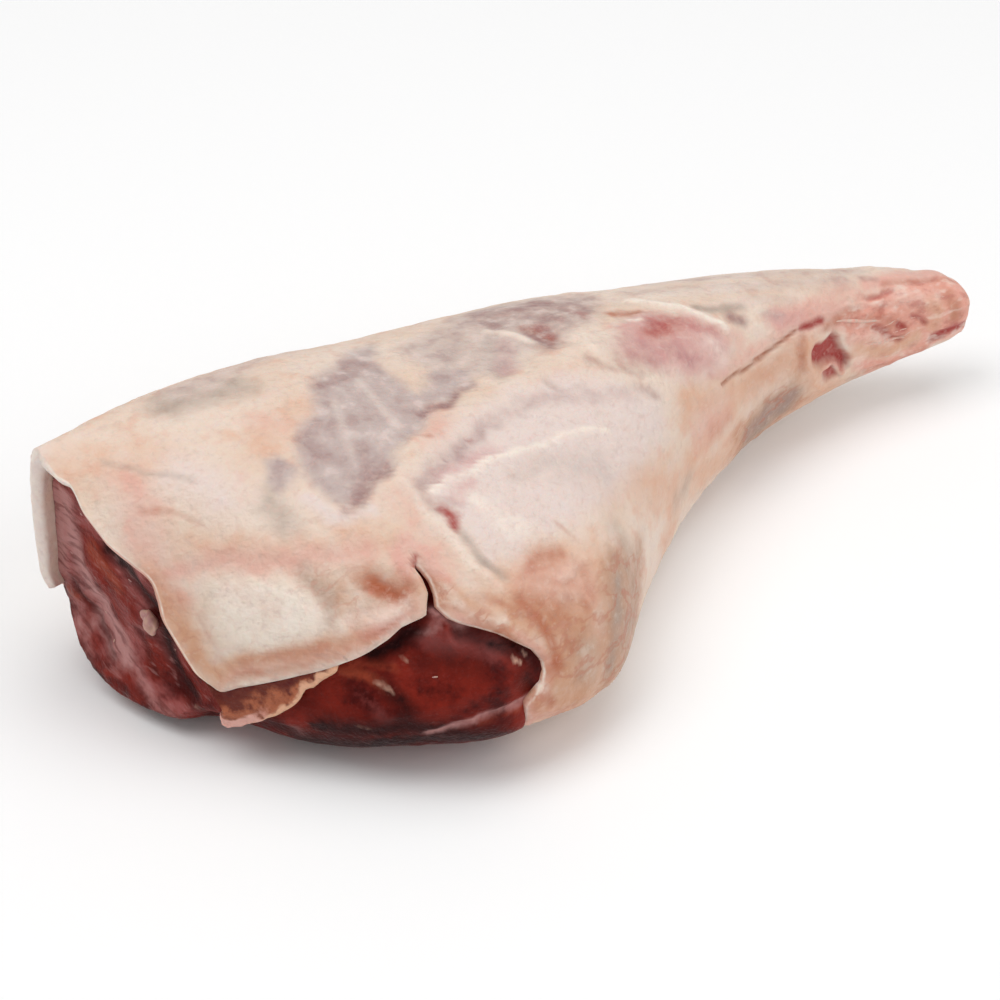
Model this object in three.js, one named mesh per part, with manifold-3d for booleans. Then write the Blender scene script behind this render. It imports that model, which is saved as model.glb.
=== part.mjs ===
// A raw leg of lamb with the bone in, lying on its flat inner side. Millimetres, +Z up.
// +X runs from the rump cut to the shank, +Y is the straight back edge and -Y the round of the thigh.
// The leg is one piece of food, so it is one solid. The meat, the fat cover round the rump with its
// free flap, and the thin flank muscle under the flap are lofted and joined, and the slit beside
// the flap, the crease of the heel tendon and the hole behind it are cut.
import * as THREE from 'three';
import { LoftGeometry } from 'three/addons/geometries/LoftGeometry.js';
import { mergeVertices } from 'three/addons/utils/BufferGeometryUtils.js';
import Module from 'manifold-3d';

const wasm = await Module();
wasm.setup();

// ---- Driving dimensions -------------------------------------------------------------------

// Cross-sections of the whole leg, fat included, from the rump cut to the hock. Each has its
// extreme points: back (y, z), crown (y, z), front (y, z) and belly (y, z). frontRound and
// backRound are superellipse exponents of the crown-to-front and belly-to-back quarters:
// 1 is a straight slope, 2 an ellipse.
const STATIONS = [
  // the rump, cut straight through
  { x: -162, back: [37, 43], crown: [29, 100], front: [-38, 25], belly: [4, 7], frontRound: 1.3, backRound: 1.35 },
  // hip
  { x: -125, back: [59, 36], crown: [34, 100], front: [-81, 30], belly: [4, -2], frontRound: 1.65, backRound: 1.7 },
  // widest part of the thigh
  { x: -80, back: [78, 34], crown: [27, 98], front: [-97, 32], belly: [5, -2], frontRound: 1.9, backRound: 2.0 },
  { x: -30, back: [87, 35], crown: [14, 90], front: [-86, 24], belly: [5, -5], frontRound: 2.0, backRound: 2.3 },
  // the thigh draws in towards the knee
  { x: 15, back: [86, 37], crown: [13, 87], front: [-45, 24], belly: [11, -5], frontRound: 2.0, backRound: 2.3 },
  { x: 60, back: [78, 37], crown: [23, 79], front: [-8, 28], belly: [27, -1], frontRound: 2.1, backRound: 2.2 },
  // shank
  { x: 110, back: [68, 38], crown: [35, 70], front: [15, 34], belly: [35, 8], frontRound: 2.1, backRound: 2.1 },
  { x: 165, back: [53, 38], crown: [36, 60], front: [23, 41], belly: [32, 17], frontRound: 2.1, backRound: 2.1 },
  // the hock, where the foot was taken off
  { x: 202, back: [41, 37], crown: [30, 50], front: [18, 44], belly: [26, 25], frontRound: 2.1, backRound: 2.1 },
];
const CROWN_ROUND = 2.4; // exponent of the back-to-crown quarter
const KEEL_ROUND = 2.4; // exponent of the front-to-belly quarter
const RUMP_SLANT = 0.42; // the rump cut runs this much towards -X for each mm towards +Y
const SLANT_PIVOT = -25.5; // y at which a slanted section keeps its station's x
const SLANT_RUN = 190; // length over which the slant dies away

const RUMP = STATIONS[0].x;
const HOCK = STATIONS.at(-1).x;

const FAT_THICK = { top: 4, back: 9 }; // thin over the crown and the flap, thickest down the back
const COVER_END = -54; // up to here the cover is a layer of its own; beyond it the meat carries it
const COVER_BLEND = 10; // length over which the layer sinks into the meat
const COVER_SINK = 0.8; // how far it sinks there and along its back edge
const RUMP_OVERHANG = 5; // the cover reaches this far past the cut meat at the rump

const SLIT = { x: -97, turn: 1.59, size: [3, 27, 20] }; // frees the flap at its shank end
const UNDERCUT = 12; // depth of the hollow under the flap
const STRIP = { sink: 7, thick: 4, end: -106 }; // the flank muscle, between flap and hollow
const OVAL_SINK = 4; // the bare round muscle lies this far inside its rim of fat

const GAMBREL = { x: 135, turn: 1.95, size: [15, 13, 18] }; // the hole behind the heel tendon
const CREASE = { x: 103, turn: 1.62, size: [54, 2.4, 5] }; // between the tendon and the bone

// ---- Smooth curves through stations -------------------------------------------------------

const smooth = THREE.MathUtils.smoothstep;
const lerp = THREE.MathUtils.lerp;

// A monotone cubic through [position, value] pairs, which never overshoots its values.
function curve(pairs) {
  const x = pairs.map((p) => p[0]);
  const y = pairs.map((p) => p[1]);
  const run = x.slice(1).map((v, i) => v - x[i]);
  const rise = y.slice(1).map((v, i) => v - y[i]);
  const slope = y.map((_, i) => {
    if (i === 0) return rise[0] / run[0];
    if (i === y.length - 1) return rise[i - 1] / run[i - 1];
    const [before, after] = [rise[i - 1] / run[i - 1], rise[i] / run[i]];
    if (before * after <= 0) return 0;
    const [w1, w2] = [2 * run[i] + run[i - 1], run[i] + 2 * run[i - 1]];
    return (w1 + w2) / (w1 / before + w2 / after);
  });
  return (at) => {
    const next = x.findIndex((v) => v > at);
    const i = next < 0 ? run.length - 1 : Math.max(next - 1, 0);
    const t = THREE.MathUtils.clamp((at - x[i]) / run[i], 0, 1);
    const lead = slope[i] * run[i] - rise[i];
    const trail = rise[i] - slope[i + 1] * run[i];
    return y[i] + t * rise[i] + t * (1 - t) * (lead * (1 - t) + trail * t);
  };
}

const along = (read) => curve(STATIONS.map((s) => [s.x, read(s)]));
const corner = (name) => {
  const [y, z] = [along((s) => s[name][0]), along((s) => s[name][1])];
  return (x) => [y(x), z(x)];
};
const backAt = corner('back');
const crownAt = corner('crown');
const frontAt = corner('front');
const bellyAt = corner('belly');
const frontRound = along((s) => s.frontRound);
const backRound = along((s) => s.backRound);
const slantAt = (x) => RUMP_SLANT * Math.max(0, 1 - (x - RUMP) / SLANT_RUN) ** 1.4;

// ---- The leg's outer surface --------------------------------------------------------------

// turn goes round the section: 0 back, 1 crown, 2 front, 3 belly, 4 back again.
function surfacePoint(x, turn) {
  const corners = [backAt(x), crownAt(x), frontAt(x), bellyAt(x)];
  const rounds = [CROWN_ROUND, frontRound(x), KEEL_ROUND, backRound(x)];
  const wrapped = THREE.MathUtils.euclideanModulo(turn, 4);
  const quarter = Math.min(3, Math.floor(wrapped));
  const angle = ((wrapped - quarter) * Math.PI) / 2;
  const [from, to] = [corners[quarter], corners[(quarter + 1) % 4]];
  // The section is upright at the back and the front, and level at the crown and the belly.
  const centre = quarter % 2 === 0 ? [to[0], from[1]] : [from[0], to[1]];
  const leave = Math.cos(angle) ** (2 / rounds[quarter]);
  const reach = Math.sin(angle) ** (2 / rounds[quarter]);
  const y = centre[0] + (from[0] - centre[0]) * leave + (to[0] - centre[0]) * reach;
  const z = centre[1] + (from[1] - centre[1]) * leave + (to[1] - centre[1]) * reach;
  return new THREE.Vector3(x - slantAt(x) * (y - SLANT_PIVOT), y, z);
}

function surfaceNormal(x, turn) {
  const alongX = surfacePoint(x + 1, turn).sub(surfacePoint(x - 1, turn));
  const round = surfacePoint(x, turn + 0.02).sub(surfacePoint(x, turn - 0.02));
  return round.cross(alongX).normalize();
}

// The point that lies depth below the surface, on the straight way to the core of its section: a
// line across the leg at half its height. The leg lies flat on the table, at z = 0.
function inside(x, turn, depth) {
  const p = surfacePoint(x, turn);
  const top = crownAt(x)[1];
  const bottom = Math.max(bellyAt(x)[1], 0);
  const half = 0.45 * (top - bottom);
  const [nearFront, nearBack] = [frontAt(x)[0] + half, backAt(x)[0] - half];
  const middle = (nearFront + nearBack) / 2;
  const coreY = nearFront < nearBack ? THREE.MathUtils.clamp(p.y, nearFront, nearBack) : middle;
  const inward = new THREE.Vector3(slantAt(x) * (p.y - coreY), coreY - p.y, (top + bottom) / 2 - p.z);
  p.addScaledVector(inward, Math.min(depth / inward.length(), 0.85));
  p.z = Math.max(p.z, 0);
  return p;
}

// ---- What lies where on that surface ------------------------------------------------------

const COVER_BACK_EDGE = -0.35; // where the fat cover ends under the back

// Its front edge: along the free flap, up to the slit, and round the bare muscle.
const coverEdge = curve([
  [RUMP, 1.89],
  [-137, 1.76],
  [-99, 1.635],
  [-86, 1.7],
  [-74, 1.76],
  [-66, 1.85],
  [COVER_END, 2.0],
]);

// How far the flank muscle shows below that edge.
const stripReach = curve([
  [RUMP, 0.13],
  [-140, 0.07],
  [STRIP.end, 0.07],
]);

const fatThickness = (turn) => lerp(FAT_THICK.top, FAT_THICK.back, smooth(-turn, -1.2, -0.75));

const within = (value, start, end, soft) => smooth(value, start - soft, start) * (1 - smooth(value, end, end + soft));

// 1 where the flap hangs free over the hollow, 0 elsewhere.
function undercut(x, turn) {
  const across = within(turn - coverEdge(x), -0.13, stripReach(x) + 0.03, 0.17);
  return across * (1 - smooth(x, SLIT.x - 12, SLIT.x + 3));
}

function meatDepth(x, turn) {
  const signed = turn > 3 ? turn - 4 : turn;
  const edge = coverEdge(x);
  const layered = 1 - smooth(x, COVER_END - 1.5 * COVER_BLEND, COVER_END - 0.5 * COVER_BLEND);
  const covered = within(signed, COVER_BACK_EDGE + 0.05, edge - 0.03, 0.05);
  const oval = within(x, -92, -74, 12) * within(signed, edge - 0.02, edge + 0.2, 0.25);
  const below = Math.max(0.6 * fatThickness(signed) * covered, OVAL_SINK * oval);
  return layered * Math.max(below, UNDERCUT * undercut(x, signed));
}

// ---- Solids -------------------------------------------------------------------------------

// Sections from start to end, close together round the rump and wider along the shank.
function spread(start, end) {
  const step = curve([[RUMP, 4.5], [-50, 6], [40, 10], [HOCK, 11]]);
  const places = [start];
  while (places.at(-1) + 1.4 * step(places.at(-1)) < end) places.push(places.at(-1) + step(places.at(-1)));
  return [...places, end];
}

function solid(geometry) {
  const plain = new THREE.BufferGeometry().copy(geometry);
  plain.deleteAttribute('normal');
  plain.deleteAttribute('uv');
  const merged = mergeVertices(plain, 1e-3);
  const vertProperties = merged.attributes.position.array;
  const triVerts = new Uint32Array(merged.index.array);
  return new wasm.Manifold(new wasm.Mesh({ numProp: 3, vertProperties, triVerts }));
}

const loft = (sections) => solid(new LoftGeometry(sections, { capStart: true, capEnd: true }));

function meat() {
  const pointsRound = 56;
  const turnAt = curve([[0, 0], [15, 1.45], [35, 2.3], [pointsRound, 4]]); // closest below the flap
  const ring = (x, more = 0, shift = 0) =>
    Array.from({ length: pointsRound }, (_, i) => {
      const turn = turnAt(i);
      return inside(x, turn, meatDepth(x, turn) + more).add(new THREE.Vector3(shift, 0, 0));
    });
  const face = RUMP + RUMP_OVERHANG;
  return loft([
    ring(face + 5, 12, -5.5), // the cut face bulges, with a rounded rim
    ring(face + 5, 3, -4),
    ...spread(face + 5, HOCK).map((x) => ring(x)),
    ring(HOCK, 2, 2.5), // the knuckle is rounded too
    ring(HOCK, 6, 4),
  ]);
}

// A closed section of a layer of the leg, from its outer to its inner depth between two turns.
function layerSection(x, first, last, outer, inner, count) {
  const walk = (from, to, depthAt) =>
    Array.from({ length: count }, (_, i) => {
      const turn = lerp(from, to, i / (count - 1));
      return inside(x, turn, depthAt(turn));
    });
  return [...walk(first, last, outer), ...walk(last, first, inner)];
}

function fatCover() {
  const sections = spread(RUMP, COVER_END).map((x) => {
    const edge = coverEdge(x);
    const blend = smooth(x, COVER_END - COVER_BLEND, COVER_END);
    const sunk = (turn) => Math.max(blend, 1 - smooth(turn, COVER_BACK_EDGE, COVER_BACK_EDGE + 0.2));
    const outer = (turn) => COVER_SINK * sunk(turn);
    const inner = (turn) => fatThickness(turn) + COVER_SINK * blend;
    return layerSection(x, COVER_BACK_EDGE, edge, outer, inner, 28);
  });
  return loft(sections);
}

function flankStrip() {
  const sections = spread(RUMP + 1, STRIP.end).map((x) => {
    const edge = coverEdge(x);
    const end = smooth(x, STRIP.end - 15, STRIP.end);
    const last = edge + stripReach(x);
    const outer = (turn) => STRIP.sink + 2 * end - 2 * smooth(turn, edge, last);
    const inner = (turn) => outer(turn) + STRIP.thick;
    return layerSection(x, edge - 0.28, last, outer, inner, 8);
  });
  return loft(sections);
}

// An ellipsoid centred on the surface: its length runs along the leg and its height along the normal.
function lens({ x, turn, size: [length, width, height] }) {
  const normal = surfaceNormal(x, turn);
  const forward = surfacePoint(x + 2, turn).sub(surfacePoint(x - 2, turn)).normalize();
  const side = new THREE.Vector3().crossVectors(normal, forward).normalize();
  const frame = new THREE.Matrix4().makeBasis(forward, side, normal);
  frame.scale(new THREE.Vector3(length, width, height)).setPosition(surfacePoint(x, turn));
  return solid(new THREE.SphereGeometry(0.5, 20, 12).applyMatrix4(frame));
}

// ---- The leg ------------------------------------------------------------------------------

function legGeometry() {
  const joined = meat().add(fatCover()).add(flankStrip());
  const cut = joined.subtract(lens(SLIT)).subtract(lens(CREASE)).subtract(lens(GAMBREL));
  const { vertProperties, triVerts } = cut.getMesh();
  const geometry = new THREE.BufferGeometry();
  geometry.setAttribute('position', new THREE.BufferAttribute(vertProperties, 3));
  geometry.setIndex(new THREE.BufferAttribute(triVerts, 1));
  // The origin is the middle of the footprint, on the table.
  geometry.computeBoundingBox();
  const { min, max } = geometry.boundingBox;
  geometry.translate(-(min.x + max.x) / 2, -(min.y + max.y) / 2, -min.z);
  geometry.computeVertexNormals();
  return geometry;
}

const rawMeat = new THREE.MeshStandardMaterial({ color: 0xe3c8b4, roughness: 0.5, metalness: 0 });
const leg = new THREE.Mesh(legGeometry(), rawMeat);
leg.name = 'leg_of_lamb';

const legOfLamb = new THREE.Group();
legOfLamb.add(leg);
export default legOfLamb;
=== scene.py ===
"""A raw leg of lamb with the bone in, lying on its flat inner side.

Every point of the leg has a place `x`, millimetres along it from the rump cut (-162) to the hock (202),
and a `turn` round its section: 0 at the back, 1 on the crown, 2 at the front, 3 under the belly and 4 at
the back again. Lengths are in millimetres, but the settings and the finished pieces are in metres.
"""

import math
from collections import namedtuple

import bpy
import numpy as np
from bpy.props import FloatProperty, FloatVectorProperty, IntProperty, PointerProperty
from bpy.types import Operator, Panel, PropertyGroup
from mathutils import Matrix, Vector


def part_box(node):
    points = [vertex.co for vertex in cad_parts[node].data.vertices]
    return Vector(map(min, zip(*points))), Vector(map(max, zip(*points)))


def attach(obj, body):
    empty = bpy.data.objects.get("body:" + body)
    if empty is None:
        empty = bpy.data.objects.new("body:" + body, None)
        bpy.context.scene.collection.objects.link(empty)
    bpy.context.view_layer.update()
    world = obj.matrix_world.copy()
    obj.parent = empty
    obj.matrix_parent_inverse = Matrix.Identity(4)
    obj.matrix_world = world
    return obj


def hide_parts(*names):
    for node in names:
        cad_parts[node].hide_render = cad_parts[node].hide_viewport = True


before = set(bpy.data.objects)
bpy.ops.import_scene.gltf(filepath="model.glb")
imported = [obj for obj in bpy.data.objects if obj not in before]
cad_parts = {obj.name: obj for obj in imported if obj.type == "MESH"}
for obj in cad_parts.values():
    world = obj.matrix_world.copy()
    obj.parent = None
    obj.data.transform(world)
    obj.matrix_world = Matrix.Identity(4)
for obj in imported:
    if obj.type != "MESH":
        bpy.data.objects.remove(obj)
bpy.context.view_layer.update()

bl_info = {
    "name": "Raw leg of lamb",
    "version": (1, 0, 0),
    "blender": (4, 5, 0),
    "location": "3D View > Sidebar > Lamb",
    "description": "Builds a raw leg of lamb: lean meat, fat cover, flank muscle, knuckle and sinews",
    "category": "Add Mesh",
}

NODE = "leg_of_lamb"
MM = 0.001

# ---- The leg's outer surface ----------------------------------------------------------------

# Sections from the rump cut to the hock. Each has its x, the (y, z) of its back, crown, front and belly,
# and the superellipse exponents of its crown-to-front and belly-to-back quarters.
STATIONS = [
    (-162, (37, 43), (29, 100), (-38, 25), (4, 7), 1.3, 1.35),
    (-125, (59, 36), (34, 100), (-81, 30), (4, -2), 1.65, 1.7),
    (-80, (78, 34), (27, 98), (-97, 32), (5, -2), 1.9, 2.0),
    (-30, (87, 35), (14, 90), (-86, 24), (5, -5), 2.0, 2.3),
    (15, (86, 37), (13, 87), (-45, 24), (11, -5), 2.0, 2.3),
    (60, (78, 37), (23, 79), (-8, 28), (27, -1), 2.1, 2.2),
    (110, (68, 38), (35, 70), (15, 34), (35, 8), 2.1, 2.1),
    (165, (53, 38), (36, 60), (23, 41), (32, 17), 2.1, 2.1),
    (202, (41, 37), (30, 50), (18, 44), (26, 25), 2.1, 2.1),
]
CROWN_ROUND = 2.4  # exponent of the back-to-crown quarter
KEEL_ROUND = 2.4  # exponent of the front-to-belly quarter
RUMP_SLANT = 0.42  # the rump cut runs this much towards -X for each mm towards +Y
SLANT_PIVOT = -25.5
SLANT_RUN = 190
RUMP, HOCK = STATIONS[0][0], STATIONS[-1][0]
KNUCKLE_END = HOCK + 4
BACK_EXTREME = 87  # the largest y of any section

# The CAD row frame has its origin in the middle of the footprint.
CAD_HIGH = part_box(NODE)[1]
SHIFT = np.array([CAD_HIGH.x / MM - KNUCKLE_END, CAD_HIGH.y / MM - BACK_EXTREME, 0.0])


def smoothstep(value, low, high):
    t = np.clip((np.asarray(value, float) - low) / (high - low), 0, 1)
    return t * t * (3 - 2 * t)


def lerp(a, b, t):
    return a + (b - a) * t


def curve(pairs):
    """A monotone cubic through (position, value) pairs, which never overshoots its values."""
    x, y = np.array(pairs, float).T
    run, rise = np.diff(x), np.diff(y)
    slope = rise / run
    tangent = np.concatenate([slope[:1], np.zeros(len(x) - 2), slope[-1:]])
    before, after = slope[:-1], slope[1:]
    w1, w2 = 2 * run[1:] + run[:-1], run[1:] + 2 * run[:-1]
    same = before * after > 0
    tangent[1:-1][same] = ((w1 + w2)[same]) / (w1[same] / before[same] + w2[same] / after[same])

    def at(value):
        value = np.clip(value, x[0], x[-1])
        i = np.clip(np.searchsorted(x, value, side="right") - 1, 0, len(run) - 1)
        t = (value - x[i]) / run[i]
        lead, trail = tangent[i] * run[i] - rise[i], rise[i] - tangent[i + 1] * run[i]
        return y[i] + t * rise[i] + t * (1 - t) * (lead * (1 - t) + trail * t)

    return at


def corner(column):
    y = curve([(s[0], s[column][0]) for s in STATIONS])
    z = curve([(s[0], s[column][1]) for s in STATIONS])
    return lambda x: (y(x), z(x))


back_at, crown_at, front_at, belly_at = (corner(column) for column in (1, 2, 3, 4))
front_round = curve([(s[0], s[5]) for s in STATIONS])
back_round = curve([(s[0], s[6]) for s in STATIONS])


def slant_at(x):
    return RUMP_SLANT * np.maximum(0, 1 - (x - RUMP) / SLANT_RUN) ** 1.4


def surface(x, turn):
    """Points of the outer surface, in mm. x and turn are arrays of one shape."""
    x, turn = np.broadcast_arrays(np.asarray(x, float), np.asarray(turn, float))
    corners = np.array([np.stack(at(x), -1) for at in (back_at, crown_at, front_at, belly_at)])
    rounds = np.array([x * 0 + CROWN_ROUND, front_round(x), x * 0 + KEEL_ROUND, back_round(x)])
    wrapped = np.mod(turn, 4)
    quarter = np.minimum(3, wrapped.astype(int))
    angle = (wrapped - quarter) * math.pi / 2
    grid = np.indices(x.shape)
    start, end = corners[(quarter, *grid)], corners[((quarter + 1) % 4, *grid)]
    upright = quarter % 2 == 0
    centre = np.stack([np.where(upright, end[..., 0], start[..., 0]),
                       np.where(upright, start[..., 1], end[..., 1])], -1)
    power = 2 / rounds[(quarter, *grid)]
    leave, reach = np.cos(angle) ** power, np.sin(angle) ** power
    yz = centre + (start - centre) * leave[..., None] + (end - centre) * reach[..., None]
    return np.stack([x - slant_at(x) * (yz[..., 0] - SLANT_PIVOT), yz[..., 0], yz[..., 1]], -1)


def inward(x, turn, depth, floor=0.0):
    """Points `depth` mm below the surface, on the straight way to the core line of their section."""
    p = surface(x, turn)
    top, bottom = crown_at(x)[1], np.maximum(belly_at(x)[1], 0)
    half = 0.45 * (top - bottom)
    near_front, near_back = front_at(x)[0] + half, back_at(x)[0] - half
    middle = (near_front + near_back) / 2
    core = np.where(near_front < near_back, np.clip(p[..., 1], near_front, near_back), middle)
    way = np.stack([slant_at(x) * (p[..., 1] - core), core - p[..., 1], (top + bottom) / 2 - p[..., 2]], -1)
    length = np.linalg.norm(way, axis=-1)
    p = p + way * np.minimum(depth / length, 0.85)[..., None]
    p[..., 2] = np.maximum(p[..., 2], floor)
    return p


class Grain:
    """Seeded smooth noise in space, from -1 to 1."""

    SIDE = 32  # points of its lattice along each axis

    def __init__(self, seed):
        self.lattice = np.random.default_rng(seed).uniform(-1, 1, (self.SIDE,) * 3)

    def __call__(self, points, size):
        """size is the width of one lump in mm, or one width for each axis."""
        p = points / np.asarray(size, float)
        cell = np.floor(p).astype(int)
        t = p - cell
        t = t * t * (3 - 2 * t)
        total = 0
        for offset in np.ndindex(2, 2, 2):
            weight = np.prod(np.where(offset, t, 1 - t), -1)
            total = total + weight * self.lattice[tuple(np.moveaxis((cell + offset) % self.SIDE, -1, 0))]
        return total


LUMPS, RIPPLES, SPECKS, WANDER_X, WANDER_TURN = (Grain(seed) for seed in (11, 23, 37, 41, 59))

# ---- Where the fat cover ends ---------------------------------------------------------------

ARC = 95.0  # mm round the thigh for one turn

# The bare meat, as (x, turn): along the free flap, up and down the slit, round the oval muscle, under the
# thigh and back to the rump under the back.
FLAP_TIP = (-101, 1.648)
SLIT_TOP = (-93.2, 1.512)
BARE = [
    (-176, 1.97), (-160, 1.91), (-155, 1.868), (-142, 1.803), (-131, 1.757), (-123, 1.73), (-116, 1.702),
    (-110, 1.672), (-105, 1.658), FLAP_TIP, (-99, 1.622), (-96.4, 1.592), (-95.4, 1.555), (-95.6, 1.53),
    (-94.8, 1.517), SLIT_TOP, (-92.4, 1.53), (-92.2, 1.56), (-93.4, 1.6), (-95.2, 1.63), (-93.6, 1.662),
    (-90.5, 1.682), (-86, 1.7), (-80, 1.73), (-74, 1.772), (-68.5, 1.808), (-66, 1.85), (-66.2, 1.89),
    (-68.5, 1.94), (-72.5, 1.975), (-76.5, 2.01), (-76.5, 2.14), (-73, 2.35), (-64, 2.6), (-58, 2.78),
    (-61, 3.1), (-78, 3.36), (-110, 3.53), (-140, 3.68), (-176, 3.84),
]
# how far the cover stands past the rump cut, mm by turn
COVER_OVERHANG = curve([
    (1.0, 0), (1.14, 1.2), (1.19, 1.6), (1.23, 0.2), (1.33, 2.2), (1.4, 2.0), (1.47, -0.5), (1.53, -2.4),
    (1.58, -1.4), (1.66, 0.3), (1.8, -0.4), (1.9, -3.4), (2.2, 0)])
# the turn at which the cover ends above the bare meat, by x
cover_edge = curve([
    (RUMP, 1.89), (-137, 1.757), (-119, 1.69), (-99, 1.635), (-86, 1.7), (-74, 1.767), (-54, 2.0)])

# ---- Marks ----------------------------------------------------------------------------------

# A mark tints a mask and may lift or sink the surface (height, mm). With a radius it is a stroke along its
# points, without one it is the area inside them. Both fade over `soft` mm.
Mark = namedtuple("Mark", "mask amount height radius soft points")


def marks_of(rows):
    return [Mark(*row) for row in rows]


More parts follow.
